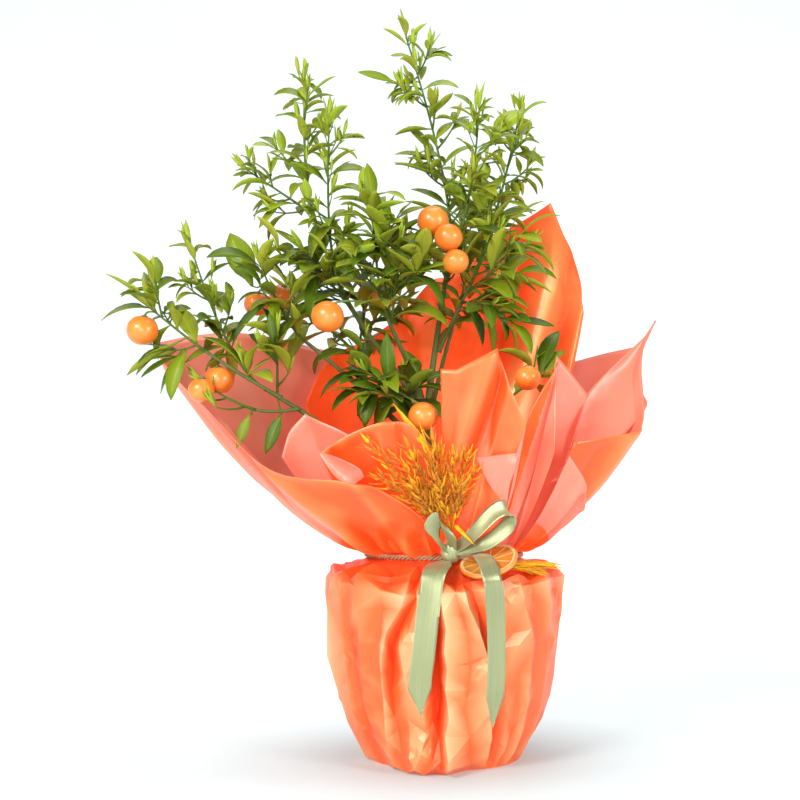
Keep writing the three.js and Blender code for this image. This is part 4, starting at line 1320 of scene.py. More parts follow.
COMPOST_TOP = 134.3
LIMBS = {
    "trunk": Limb(((0, 0, COMPOST_TOP), (-4, 0, 190), (-16, 0, 290), (-28, 0, 344)), (7.2, 3.6), 5.0),
    "bough_left_low": Limb(((-6, 0, 222), (-104, -44, 290), (-156, -48, 320)), (3.4, 1.7)),
    "bough_far_left": Limb(((-141, -46, 312), (-174, -58, 330), (-205, -62, 351)), (1.7, 1.4)),
    "bough_low_left": Limb(((-126, -46, 303), (-146, -56, 298), (-162, -60, 301)), (1.5, 1.3)),
    "bough_left_mid": Limb(((-12, 0, 264), (-72, -20, 324), (-124, -22, 365)), (2.8, 1.6)),
    "bough_left_up": Limb(((-21, 0, 311), (-58, 8, 358), (-88, 8, 405)), (3.0, 1.9)),
    "bough_shoulder": Limb(((-74, 8, 383), (-104, 28, 432), (-120, 5, 492)), (1.8, 1.4)),
    "bough_centre": Limb(((-27, 0, 338), (-40, -14, 362), (-50, -22, 385)), (2.6, 1.8)),
    "bough_right": Limb(((-16, 0, 293), (-6, 8, 374), (6, 10, 444)), (3.3, 2.0)),
    "bough_right_side": Limb(((-4, 6, 358), (10, -6, 388), (24, -14, 416)), (2.1, 1.5)),
    "bough_right_low": Limb(((-8, 0, 238), (28, -20, 280), (56, -24, 312)), (2.3, 1.4)),
    "bough_back_left": Limb(((-13, 0, 272), (-48, 38, 320), (-85, 72, 367)), (2.7, 1.7)),
    "bough_back_right": Limb(((-15, 0, 284), (-4, 40, 336), (11, 75, 386)), (2.7, 1.7)),
}


@dataclass
class Stems:
    """The trunk and its boughs, with knots and the relief of bark."""

    # corners round the trunk, and the share of the bark's relief that it has
    trunk: tuple[int, float] = (26, 1.0)
    bough: tuple[int, float] = (12, 0.45)  # the same for a bough
    step: float = 3.0  # from ring to ring along a limb
    relief: Pair = (0.5, 0.5)  # height of the bark's ridges and of the knots

    def build(self) -> Piece:
        """Sweeps each limb, roughens it and cuts all level at the compost."""
        bm = bmesh.new()
        for name, limb in LIMBS.items():
            path = limb.path()
            sides, share = self.trunk if name == "trunk" else self.bough
            steps = max(14, round(path.length / (self.step * MM)))
            for v in sweep_tube(bm, path, limb.radius_at, sides, steps):
                self.roughen(v, path, share)
        everything = bm.verts[:] + bm.edges[:] + bm.faces[:]
        level = mm(0, 0, COMPOST_TOP)
        bmesh.ops.bisect_plane(bm, geom=everything, plane_co=level, plane_no=-UP, clear_outer=True)
        bmesh.ops.holes_fill(bm, edges=[e for e in bm.edges if e.is_boundary], sides=0)
        return carry(piece_of("trunk_and_boughs", bm, [BARK.material()]), "bark", *LIMBS)

    def roughen(self, v: bmesh.types.BMVert, path: Path, share: float) -> None:
        """Moves a vertex of a limb out or in by long ridges and low knots."""
        nearest = min(path.points, key=lambda p: (p - v.co).length_squared)
        out = (v.co - nearest).normalized()
        place = v.co / MM
        ridges = noise.noise(Vector((place.x * 0.5, place.y * 0.5, place.z * 0.05)))
        knots = noise.noise(Vector((place.x * 0.06, place.y * 0.06, place.z * 0.09)))
        v.co = v.co + out * (self.relief[0] * ridges + self.relief[1] * knots) * share * MM


# ---- foliage
@dataclass
class Spray:
    """A leafy shoot that goes on from a bough, and the space that its leaves keep to."""

    bough: str  # the limb it grows from
    apex: Triple  # its highest or furthest place
    reach: float  # how far from its stem its leaves go
    at: float = 1.0  # where on the limb it starts, as a share of its length
    spire: bool = False  # true where it stands up, with leaves that get small towards the apex
    dense: bool = False  # true where its leaves are close together
    bow: Triple = (0, 0, 0)  # how far the middle of its stem is drawn aside
    tints: tuple[Tint, ...] = (Tint.GREEN, Tint.DEEP, Tint.BRIGHT)  # the leaf tints it draws from
    side: str = "left"  # the piece that its leaves are joined to
    stem: Path = field(init=False)  # its middle line
    line: np.ndarray = field(init=False)  # marks along it

    def __post_init__(self) -> None:
        """Works out the stem, as the part's source does."""
        limb = LIMBS[self.bough].path()
        start = limb.at(self.at)
        end = mm(*self.apex)
        end -= (end - start).normalized() * (0.8 if self.spire else 1.0) * YOUNG_LEAF * MM
        middle = start.lerp(end, 0.5)
        if self.at == 1.0:
            middle = start + limb.tangent(1.0) * (end - start).length * 0.25
        self.stem = Path.arc(start, middle + mm(*self.bow), end)
        self.line = np.array(self.stem.marks())


YOUNG_LEAF = 30.0  # how far young leaves reach past a stem's end
HIGH = (Tint.BRIGHT, Tint.GREEN, Tint.GREEN, Tint.YOUNG)
MIDDLE = (Tint.GREEN, Tint.BRIGHT, Tint.GREEN, Tint.DEEP)
LOW = (Tint.DEEP, Tint.GREEN, Tint.DEEP)

SPRAYS = {
    "spray_far_left": Spray("bough_far_left", (-277, -64, 407), 44, tints=MIDDLE),
    "spray_low_left": Spray("bough_low_left", (-230, -66, 334), 40, tints=LOW),
    "spray_left_spire": Spray("bough_left_low", (-234, -34, 467), 40, spire=True, tints=MIDDLE),
    "spray_left_inner": Spray("bough_left_low", (-144, -64, 392), 34, at=0.93, tints=MIDDLE),
    "spray_left_mid": Spray("bough_left_mid", (-176, -44, 454), 46, dense=True, tints=MIDDLE),
    "spray_mid_left": Spray("bough_left_up", (-142, -30, 466), 46, at=0.92, dense=True, tints=MIDDLE),
    "spray_column": Spray("bough_left_up", (-104, -40, 578), 50, spire=True, tints=HIGH, side="middle"),
    "spray_shoulder": Spray("bough_shoulder", (-198, 24, 541), 34, at=0.93, spire=True, tints=HIGH),
    "spray_top_left": Spray("bough_shoulder", (-130, 36, 642), 46, spire=True, tints=HIGH),
    "spray_centre": Spray("bough_centre", (-68, -26, 505), 54, dense=True, tints=HIGH, side="middle"),
    "spray_centre_right": Spray(
        "bough_centre", (-36, -64, 468), 50, at=0.86, dense=True, tints=MIDDLE, side="middle"
    ),
    "spray_leader": Spray("bough_right", (-38, 4, 673), 48, spire=True, tints=HIGH, side="right"),
    "spray_right_crown": Spray(
        "bough_right", (35, -44, 590), 54, at=0.8, spire=True, bow=(12, -14, 0), tints=HIGH, side="right"
    ),
    "spray_right_top": Spray("bough_right_side", (81, 44, 612), 50, spire=True, tints=HIGH, side="right"),
    "spray_right_side": Spray(
        "bough_right_side", (90, -48, 460), 47, at=0.88, tints=MIDDLE, side="right"
    ),
    "spray_mid_right": Spray("bough_right_side", (58, -64, 390), 48, at=0.74, tints=LOW, side="right"),
    "spray_low_centre": Spray("trunk", (-86, -70, 346), 52, at=0.8, dense=True, tints=LOW, side="middle"),
    "spray_right_low": Spray("bough_right_low", (113, -20, 352), 42, tints=MIDDLE, side="right"),
    "spray_back_left": Spray("bough_back_left", (-176, 110, 440), 60, dense=True, tints=MIDDLE, side="back"),
    "spray_back_centre": Spray(
        "bough_back_left", (-60, 112, 492), 62, at=0.93, dense=True, tints=MIDDLE, side="back"
    ),
    "spray_back_right": Spray("bough_back_right", (48, 104, 520), 62, dense=True, tints=MIDDLE, side="back"),
}


@dataclass(frozen=True)
class Fruit:
    """A fruit that hangs from a spray: its middle and its share of the full size."""

    spray: str
    at: Triple
    size: float


FRUITS = (
    Fruit("spray_far_left", (-259, -62, 369), 0.98),
    Fruit("spray_low_left", (-195, -47, 328), 0.92),
    Fruit("spray_low_left", (-207, -70, 317), 0.8),
    Fruit("spray_left_mid", (-171, 20, 404), 0.85),
    Fruit("spray_mid_left", (-150, 34, 413), 0.8),
    Fruit("spray_centre", (-101, -60, 381), 1.02),
    Fruit("spray_right_crown", (-10, -40, 468), 1.0),
    Fruit("spray_right_crown", (3, -54, 451), 0.88),
    Fruit("spray_right_crown", (9, -58, 429), 0.8),
    Fruit("spray_low_centre", (-20, -86, 294), 0.9),
    Fruit("spray_right_low", (72, -42, 330), 0.82),
    Fruit("spray_back_left", (-111, 104, 404), 0.95),
    Fruit("spray_back_centre", (-58, 130, 424), 1.0),
    Fruit("spray_back_right", (58, 116, 446), 0.96),
)


@dataclass(frozen=True)
class LoneLeaf:
    """One large leaf on a petiole of its own."""

    spray: str
    base: Triple
    tip: Triple
    width: float
    tint: Tint


FIRST_SEED = 11  # the first spray's, and each next one has the next seed
LONE_LEAVES = (
    LoneLeaf("spray_left_mid", (-170, -24, 413), (-191, -20, 464), 26, Tint.GREEN),
    LoneLeaf("spray_right_top", (44, 20, 561), (78, 24, 590), 20, Tint.YOUNG),
    LoneLeaf("spray_leader", (-43, 2, 606), (-77, -3, 617), 9, Tint.GREEN),
    LoneLeaf("spray_low_left", (-166, -64, 298), (-178, -70, 268), 10, Tint.GREEN),
    LoneLeaf("spray_left_inner", (-140, -56, 299), (-154, -64, 264), 12, Tint.DEEP),
)


# radii at the foot and the tip
SPRAY_STEM = (1.5, 0.8)
TWIG = (1.1, 0.6)
FINE_TWIG = (0.8, 0.6)
LEAF_STALK = (0.9, 0.6)
SHOOT_STALK = (0.6, 0.45)
FRUIT_STALK = (0.7, 1.1)


@dataclass
class Foliage:
    """Every spray's twigs, leaves, young shoots and fruit, grown by one seeded rule."""

    obstacles: BVHTree  # a tree of the wrapping film's faces, which no leaf goes through
    leaf_long: float = 60.0  # a full-grown leaf's length
    tip_leaf: float = 0.54  # the size of a leaf at a spire's tip, as a share of one at its foot
    leaf_gap: float = 9.0  # the stem between one leaf and the next
    closer: float = 0.8  # the share of that where they are dense
    last_leaf: float = 0.985  # the share of a stem that bears leaves
    last_twig: float = 0.88  # and the share that bears twigs
    bud_odds: float = 0.75  # how often a leaf on a spire's upper half has a young shoot beside it
    overlap: float = 14.0  # how far neighbouring sprays' leaves reach past each other
    fruit_radius: float = 14.0  # of a full-size fruit
    fruit_room: float = 1.5  # the room that leaves leave round a fruit
    film_room: float = 4.0  # and between their tips and the film
    sight: float = 60.0  # how near to a fruit a leaf must not hide it
    twig_gaps: Pair = (9.5, 8.0)  # a twig between one leaf and the next, and where they are dense
    forked: float = 22.0  # a twig longer than this can bear a finer one
    young: Pair = (12.0, 20.0)  # shortest and longest leaves of a side shoot
    crown: Pair = (19.0, 20.0)  # the young leaves on a spray's tip, and on a spire's
    piles: dict[str, Pile] = field(init=False)  # the leaves of each side
    shoots: Pile = field(init=False)  # the young leaves
    wood: BMesh = field(init=False)  # the twigs

    def __post_init__(self) -> None:
        """Prepares the blades and gathers the stems' marks for the test of each spray's space."""
        self.blade = Blade(2, 7, leaf_outline)
        self.piles = {side: Pile(self.blade) for side in ("left", "middle", "right", "back")}
        self.shoots = Pile(Blade(2, 4, leaf_outline))
        self.wood = bmesh.new()
        self.lines = np.concatenate([s.line for s in SPRAYS.values()])
        self.owner = np.repeat(list(SPRAYS), MARKS + 1)
        self.fruit_places = [
            (mm(*f.at), (self.fruit_radius * f.size + self.fruit_room) * MM) for f in FRUITS
        ]

    def in_space(self, name: str, point: Vector) -> bool:
        """True where a point is within a spray's reach and little nearer to any other stem."""
        far = np.linalg.norm(self.lines - np.array(point), axis=1)
        own = far[self.owner == name].min()
        return own <= SPRAYS[name].reach * MM and own <= far.min() + self.overlap * MM

    def is_clear(self, base: Vector, tip: Vector) -> bool:
        """True where a leaf from base to tip meets neither the film nor a fruit."""
        along = tip - base
        far = along.length + self.film_room * MM
        if self.obstacles.ray_cast(base, along.normalized(), far)[0] is not None:
            return False
        for middle, radius in self.fruit_places:
            t = clamp((middle - base).dot(along) / along.length_squared)
            if (base + along * t + FRONT * -0.002 - middle).length < radius:
                return False
            if self.hides(base + along * 0.6 - middle, radius * 1.1):
                return False
        return True

    def hides(self, off: Vector, radius: float) -> bool:
        """True where a place at an offset from a fruit is in front of it, within a radius, and near."""
        return off.y < 0 and math.hypot(off.x, off.z) < radius and off.length < self.sight * MM

    def leaf(
        self, name: str, base: Vector, heading: Vector, size: float, rng: random.Random, tint: Tint
    ) -> None:
        """Adds a leaf, its size from base to tip, where it keeps to its spray's space and is clear."""
        arch = rng.uniform(0.1, 1.3)
        tip = base + heading * size * 0.72 - UP * size * 0.25
        if not self.in_space(name, base + heading * size * 0.7) or not self.is_clear(base, tip):
            return
        points = self.blade.placed(
            base, heading, UP + FRONT * 0.35, size, size * rng.uniform(0.29, 0.39), arch,
            rng.uniform(0.15, 0.6), rng.uniform(-0.8, 0.8),
        )
        if self.is_free(base, points[::3]):
            self.piles[SPRAYS[name].side].add(points, list(Tint).index(tint))

    def is_free(self, base: Vector, points: np.ndarray) -> bool:
        """True where none of a leaf's points lies past the film or in front of a fruit."""
        for point in (Vector(p) for p in points):
            way = point - base
            if self.obstacles.ray_cast(base, way.normalized(), way.length)[0] is not None:
                return False
            if any(self.hides(point - middle, 0.85 * radius) for middle, radius in self.fruit_places):
                return False
        return True

    def shoot(self, base: Vector, heading: Vector, count: int, size: float, rng: random.Random) -> None:
        """Adds the upright young leaves that crown a tip."""
        for k in range(count):
            side = sideways(heading, k * GOLDEN + rng.random())
            lean = (heading + side * rng.uniform(0.15, 0.45) + UP * 0.3).normalized()
            long = size * rng.uniform(0.7, 1.15)
            foot = base + heading * 0.001 * k
            arch = -rng.uniform(0.0, 0.5)
            points = self.shoots.blade.placed(foot, lean, -side, long, long * 0.24, arch, 0.5)
            self.shoots.add(points, rng.choice((0, 0, 1)))

    def small_shoot(self, base: Vector, heading: Vector, rng: random.Random) -> None:
        """Adds a few young leaves at a side shoot's tip."""
        count = rng.choice((3, 4, 5))
        self.shoot(base, heading.normalized(), count, rng.uniform(*self.young) * MM, rng)

    def bud(self, start: Vector, heading: Vector, rng: random.Random) -> None:
        """Adds a short upright side shoot: a thin green stalk with young leaves at its tip."""
        end = start + heading * rng.uniform(5, 15) * MM
        self.twig(Path.arc(start, start.lerp(end, 0.5) - UP * 0.001, end, 4), *SHOOT_STALK)
        self.small_shoot(end, heading + UP, rng)

    def twig(self, path: Path, foot: float, tip: float, sides: int = 5) -> None:
        """Adds a twig that tapers from foot to tip."""
        sweep_tube(self.wood, path, taper(foot, tip), sides, max(3, round(path.length / 0.012)))

    def grow(self, name: str, seed: int) -> None:
        """Grows one spray: leaves by the golden angle, and twigs with their own leaves between them."""
        spray, rng = SPRAYS[name], random.Random(seed)
        stem = spray.stem
        gap = self.leaf_gap * (self.closer if spray.dense else 1.0) * MM
        before = self.wood
        self.wood = bmesh.new()
        self.twig(stem, *SPRAY_STEM, 6)
        t, i = gap / stem.length, 0
        while t < self.last_leaf:
            i += 1
            tangent = stem.tangent(t)
            turn = i * GOLDEN + seed + rng.uniform(-0.4, 0.4)
            size = self.size_at(spray, t, rng)
            out = sideways(tangent, turn) + tangent * rng.uniform(0.4, 1.2) - UP * rng.uniform(0.0, 0.3)
            self.leaf(name, stem.at(t), out.normalized(), size, rng, rng.choice(spray.tints))
            lean = (sideways(tangent, turn + 2.2) + tangent * rng.uniform(0.8, 1.3)).normalized()
            if spray.spire and t > 0.5 and rng.random() < self.bud_odds:
                self.bud(stem.at(t), (lean + UP * 0.5).normalized(), rng)
            if i % 2 and t < self.last_twig:
                share = 0.76 - 0.36 * t if spray.spire else 0.7
                long = spray.reach * MM * share * rng.uniform(0.7, 1.2)
                self.side_twig(name, stem.at(t), lean, long, size, rng, 1)
            t += gap / stem.length * rng.uniform(0.75, 1.25)
        self.tuft(name, stem, self.size_at(spray, 1.0, rng), rng)
        self.shoot(stem.at(1.0), stem.tangent(1.0), 6, self.crown[spray.spire] * MM, rng)
        bmesh.ops.recalc_face_normals(self.wood, faces=self.wood.faces[:])
        mesh = bpy.data.meshes.new("spray_wood")
        self.wood.to_mesh(mesh)
        self.wood.free()
        before.from_mesh(mesh)
        bpy.data.meshes.remove(mesh)
        self.wood = before

    def size_at(self, spray: Spray, t: float, rng: random.Random) -> float:
        """The length of a leaf at a share of its stem, in metres."""
        young = t if spray.spire else 0.3 * t
        full = self.leaf_long * (0.94 if spray.spire else 1.0)
        return lerp(full, self.tip_leaf * full, young) * rng.uniform(0.6, 1.12) * MM

    def side_twig(
        self, name: str, start: Vector, lean: Vector, long: float, size: float, rng: random.Random,
        order: int,
    ) -> None:
        """Grows a twig with alternate leaves, a finer twig of its own, and a tuft at its tip.

        Args:
            name: its spray.
            start: where it starts.
            lean: the direction it leaves in.
            long: its length.
            size: the length of its leaves.
            rng: draws what varies.
            order: 1 on the stem, 2 on another twig.
        """
        spray = SPRAYS[name]
        end = start + lean * long
        if not self.in_space(name, end) or not self.is_clear(start, end):
            return
        path = Path.arc(start, start.lerp(end, 0.5) - UP * 0.1 * long, end + UP * 0.08 * long, 8)
        self.twig(path, *(TWIG if order == 1 else FINE_TWIG))
        leaves = max(2, round(long / (self.twig_gaps[spray.dense] * MM)))
        for k in range(1, leaves):
            t = k / leaves
            turn = k * math.pi + rng.uniform(-0.6, 0.6) + 1.2
            tangent = path.tangent(t)
            out = (sideways(tangent, turn) + tangent * 0.7 - UP * rng.uniform(0.0, 0.2)).normalized()
            self.leaf(name, path.at(t), out, size * rng.uniform(0.75, 1.0), rng, rng.choice(spray.tints))
        if order == 1 and long > self.forked * MM and rng.random() < 0.6:
            tangent = path.tangent(0.5)
            aside = (sideways(tangent, rng.uniform(0, math.tau)) + tangent).normalized()
            self.side_twig(name, path.at(0.5), aside, long * 0.5, size * 0.85, rng, 2)
        self.tuft(name, path, size * (0.8 if spray.spire else 0.92), rng)
        if spray.spire or rng.random() < 0.4:
            self.small_shoot(path.at(1.0), path.tangent(1.0) + UP * 0.6, rng)

    def tuft(self, name: str, path: Path, size: float, rng: random.Random) -> None:
        """Adds a few leaves close together at a tip."""
        turn, tints = rng.uniform(0, math.tau), SPRAYS[name].tints
        for k in range(rng.choice((2, 3, 3))):
            t = 1 - (0.001 + 0.004 * k) / path.length
            out = sideways(path.tangent(t), turn + k * GOLDEN + rng.uniform(-0.4, 0.4))
            heading = (path.tangent(t) * rng.uniform(0.5, 1.4) + out * 0.7).normalized()
            self.leaf(name, path.at(t), heading, size * rng.uniform(0.7, 1.05), rng, rng.choice(tints))

    def build_fruit(self) -> None:
        """Makes each fruit with its stalk and its small green star."""
        balls, stalks = bmesh.new(), bmesh.new()
        for i, fruit in enumerate(FRUITS):
            radius, centre = self.fruit_radius * fruit.size * MM, mm(*fruit.at)
            start = min(SPRAYS[fruit.spray].stem.marks(), key=lambda p: (p - centre).length)
            high = centre.lerp(start, 0.4)
            high.z = centre.z + 1.5 * radius
            axis = (high - centre).normalized()
            turn = UP.rotation_difference((axis + UP).normalized()).to_matrix().to_4x4()
            made = bmesh.ops.create_uvsphere(balls, u_segments=28, v_segments=18, radius=radius)["verts"]
            for v in made:
                tall = v.co.z / radius
                dent = 0.07 * smoothstep(tall, 0.86, 1.0) + 0.02 * smoothstep(-tall, 0.9, 1.0)
                swell = 1 + 0.02 * noise.noise(v.co / radius * 1.3 + Vector((i, 0, 0)))
                v.co = Vector((v.co.x, v.co.y, v.co.z * (0.94 - dent))) * swell
            bmesh.ops.transform(balls, matrix=Matrix.Translation(centre) @ turn, verts=made)
            axis = turn.to_3x3() @ UP
            top = centre + axis * radius * 0.88
            sweep_tube(stalks, Path.arc(start, high.lerp(top, 0.3), top), taper(*FRUIT_STALK), 6, 10)
            self.star(stalks, top, axis)
        carry(piece_of("fruit", balls, [PEEL.material()]), "foliage")
        carry(piece_of("fruit_stalks", stalks, [CALYX.material()]), "foliage")

    def star(self, bm: BMesh, top: Vector, axis: Vector) -> None:
        """Adds the five-pointed calyx on a fruit."""
        turn = UP.rotation_difference(axis).to_matrix().to_4x4()
        made = bmesh.ops.create_cone(
            bm, cap_ends=True, segments=10, radius1=2.6 * MM, radius2=1.1 * MM, depth=1.0 * MM
        )["verts"]
        low = [v for v in made if v.co.z < 0]
        for v in low[::2]:
            v.co.xy *= 1.5
        bmesh.ops.transform(bm, matrix=Matrix.Translation(top + axis * 0.0006) @ turn, verts=made)

    def lone(self, leaf: LoneLeaf) -> None:
        """Adds a large leaf that faces the front, and the petiole that holds it on its spray's stem."""
        base, tip = mms((leaf.base, leaf.tip))
        start = min(SPRAYS[leaf.spray].stem.points, key=lambda p: (p - base).length)
        self.twig(Path.arc(start, start.lerp(base, 0.6) - UP * 0.006, base, 8), *LEAF_STALK)
        along, up = tip - base, FRONT + UP * 0.5
        points = self.blade.placed(base, along, up, along.length, leaf.width * MM, 0.25, 0.3, 0.2)
        self.piles[SPRAYS[leaf.spray].side].add(points, list(Tint).index(leaf.tint))

    def build(self) -> None:
        """Grows every spray and joins what grew, each kind apart."""
        for i, name in enumerate(SPRAYS):
            self.grow(name, i + FIRST_SEED)
        for leaf in LONE_LEAVES:
            self.lone(leaf)
        skins = [skin.material() for tint in Tint for skin in tint.skins()]
        for side, pile in self.piles.items():
            nodes = [name for name, spray in SPRAYS.items() if spray.side == side]
            carry(pile.piece("leaves_" + side, skins), "foliage", *nodes)
            LOG.info("%s: %d leaves", side, len(pile.points))
        young = [skin.material() for tint in (Tint.YOUNG, Tint.BRIGHT) for skin in tint.skins()]
        carry(self.shoots.piece("young_leaves", young), "foliage")
        carry(piece_of("twigs", self.wood, [GREEN_TWIG.material()], outward=False), "foliage")
        self.build_fruit()


# ---- ribbon, twine and dried pieces
@dataclass(frozen=True)
class Strip:
    """A strip of the ribbon."""

    name: str
    knots: tuple[Triple, ...]  # the places that its middle line runs through
    across: Triple  # the direction of its width
    steps: int  # faces along it
    cup: float  # how far its middle is raised

    def build(self, ending: str, width_at: Callable[[float], float], thick: float) -> Piece:
        """Bends a grid along the middle line, with a UV map across and along it.

        Args:
            ending: what the piece's name has after the strip's name.
            width_at: its width at a share of its length.
            thick: its thickness.

        Returns:
            The object, not yet riding.
        """
        path, across = Path.through(mms(self.knots)), Vector(self.across)
        bm = bmesh.new()
        bmesh.ops.create_grid(bm, x_segments=8, y_segments=self.steps, size=0.5)
        unwrap(bm, lambda co: (co.x + 0.5, co.y + 0.5))
        for v in bm.verts:
            t, u = v.co.y + 0.5, v.co.x
            tangent = path.tangent(t)
            side = (across - tangent * across.dot(tangent) * 0.6).normalized()
            normal = side.cross(tangent).normalized()
            raised = normal * (self.cup * MM) * (1 - 4 * u * u)
            v.co = path.at(t) + side * u * (width_at(t) * MM) + raised
        bmesh.ops.solidify(bm, geom=bm.faces[:], thickness=thick * MM)
        return piece_of(self.name + ending, bm, [MATERIALS["ribbon"]], outward=False)


@dataclass
class Bow:
    """The ribbon: a knot, two loops and two tails."""

    width: float = 19.0  # the ribbon's width
    thick: float = 0.4  # its thickness
    knot: Triple = (4, -74.9, 180.8)  # the middle of the knot
    size: Triple = (9.5, 4.6, 9)  # the knot's half width, half depth and half height
    loops: tuple[Strip, ...] = (
        Strip(
            "bow_loop_left",
            ((2, -78, 183), (-8, -88, 190), (-13, -94, 201), (-7, -97, 209), (1, -93, 198), (5, -79, 184)),
            (0.6, 0.5, -0.7), 60, 0.8,
        ),
        Strip(
            "bow_loop_right",
            ((6, -77, 183), (20, -90, 196), (38, -96, 215), (49, -99, 218), (50, -98, 206), (32, -92, 190),
             (8, -78, 181)),
            (-0.45, 0.5, 0.75), 60, 0.8,
        ),
    )
    tails: tuple[Strip, ...] = (  # each has the name of the solid that it stands for
        Strip(
            "ribbon_tail_left",
            ((-0.6, -78.8, 174.7), (-6, -93, 172), (-12, -105.5, 164), (-16, -108, 138), (-20, -107, 102),
             (-23, -103, 76), (-22, -99, 52)),
            (1, 0.12, 0), 90, 0.7,
        ),
        Strip(
            "ribbon_tail_right",
            ((12.6, -83.2, 177), (21.5, -99, 181), (29, -114, 178), (35, -123, 160), (38, -110, 134),
             (39, -104, 112), (39, -100, 84), (38, -96, 62), (36, -93, 40)),
            (1, 0.7, 0), 90, 0.7,
        ),
    )

    def loop_width(self, t: float) -> float:
        """Full in the middle of a loop, gathered at the knot."""
        return self.width * (0.38 + 0.42 * math.sin(math.pi * clamp(t)) ** 0.8)

    def tail_width(self, t: float) -> float:
        """Gathered at the knot, full, and cut to a point."""
        return self.width * min(1.0, 0.35 + 6 * t, 0.05 + 6.5 * (1 - t))

    def build(self) -> None:
        """Makes the knot, the loops and the tails."""
        knot = bmesh.new()
        made = bmesh.ops.create_uvsphere(knot, u_segments=32, v_segments=20, radius=1.0)["verts"]
        unwrap(knot, lambda co: (co.x / 2 + 0.5, co.z / 2 + 0.5))
        wide, deep, tall = self.size
        for v in made:
            x, y, z = v.co
            pinch = 0.12 * math.sin(5 * x + 2 * z) + 0.1 * abs(z)
            v.co = mm(x * (wide - 4 * pinch), y * (deep + 6 * pinch * (1 - abs(x))), z * tall)
        bmesh.ops.transform(knot, matrix=Matrix.Translation(mm(*self.knot)), verts=made)
        carry(piece_of("bow_knot", knot, [MATERIALS["ribbon"]]), "green_ribbon", "ribbon_bow")
        for loop in self.loops:
            carry(loop.build("", self.loop_width, self.thick), "green_ribbon")
        for tail in self.tails:
            carry(tail.build("_satin", self.tail_width, self.thick), "green_ribbon", tail.name)


@dataclass
class Twine:
    """A turn of jute twine round the neck, laid of three strands."""

    around: float = 68.6  # the radius of its turns
    height: float = 175.9  # of its middle
    strand: float = 1.15  # a strand's radius
    lay: float = 1.25  # how far a strand lies from the middle
    turns: int = 36  # how often a strand goes round the middle
    steps: int = 480  # stretches round the neck

    def build(self) -> None:
        """Sweeps each strand round the neck."""
        bm = bmesh.new()
        for strand in range(3):
            points = []
            for k in range(self.steps + 1):
                a = math.tau * k / self.steps
                b = self.turns * a + strand * math.tau / 3
                r, z = self.around + self.lay * math.cos(b), self.height + self.lay * math.sin(b)
                points.append(mm(r * math.cos(a), r * math.sin(a), z))
            sweep_tube(bm, Path(points), taper(self.strand, self.strand), 5, self.steps)
        carry(piece_of("twine_rope", bm, [JUTE.material()]), "jute", "twine")


@dataclass
class DriedGrass:
    """The golden bunch behind the bow: stalks that fan out, with husks and long awns."""

    # long dry leaves in the bunch: base, tip and width
    blades: tuple[tuple[Triple, Triple, float], ...] = (
        ((-14, -106, 264), (-46, -101, 306), 6.0),
        ((4, -84, 206), (20, -104, 190), 3.6),
        ((-10, -104, 248), (-24, -109, 290), 2.6),
    )
    foot: Triple = (2, -79, 192.6)  # where the stalks start
    # where each stalk ends, and how many husks it bears
    tips: tuple[tuple[float, float, float, int], ...] = (
        (-57, -113, 243, 26), (-49, -108, 251, 26), (-42, -112, 260, 26), (-27, -106, 255, 30),
        (-16, -110, 262, 30), (-7, -105, 266, 30), (5, -109, 262, 28), (16, -104, 262, 28),
        (22, -106, 249, 22), (-30, -108, 236, 28), (-10, -112, 240, 30), (10, -112, 238, 26),
        (-64, -116, 271, 9), (-33, -109, 268, 10), (-13, -107, 274, 10),
    )
    husk: float = 11.5  # the length of a husk
    seed: int = 5  # of everything that is drawn here

    def build(self) -> None:
        """Fans the stalks out and sets the husks along them."""
        rng = random.Random(self.seed)
        pile = Pile(Blade(2, 4, husk_outline), 1)
        stems = bmesh.new()
        for x, y, z, husks in self.tips:
            foot = mm(self.foot[0] + rng.uniform(-3, 3), self.foot[1] - 1, self.foot[2])
            end = mm(x, y, z)
            path = Path.arc(foot, foot.lerp(end, 0.5) + mm(0, -4, 6), end)
            sweep_tube(stems, path, taper(0.8, 0.35), 5, 10)
            for j in range(husks):
                t = lerp(0.3 if husks > 12 else 0.75, 1.0, (j + rng.random()) / husks)
                off = sideways(path.tangent(t), j * GOLDEN + rng.random())
                heading = (path.tangent(t) + off * rng.uniform(0.4, 1.0)).normalized()
                long = self.husk * rng.uniform(0.8, 1.35) * MM
                base, wide = path.at(t) + off * 0.0008, long * rng.uniform(0.2, 0.3)
                points = pile.blade.placed(base, heading, off, long, wide, 0.3, 0.5, rng.uniform(-1, 1))
                pile.add(points, int(rng.random() < 0.3))
                if j % 3 == 0:
                    end = base + (heading + off * 0.25) * long * 1.5
                    awn = Path.arc(base, base + heading * long, end, 4)
                    sweep_tube(stems, awn, taper(0.22, 0.1), 3, 3)
        for base, tip, width in self.blades:
            foot, end = mms((base, tip))
            long = (end - foot).length
            pile.add(pile.blade.placed(foot, end - foot, FRONT, long, width * MM, 0.35, 0.3, 0.5), 1)
        colours = [GOLD_GRASS.material(), YELLOW_STRAW.material()]
        carry(pile.piece("grass_husks", colours), "straw", "dried_grass")
        carry(piece_of("grass_stalks", stems, colours[:1]), "straw")


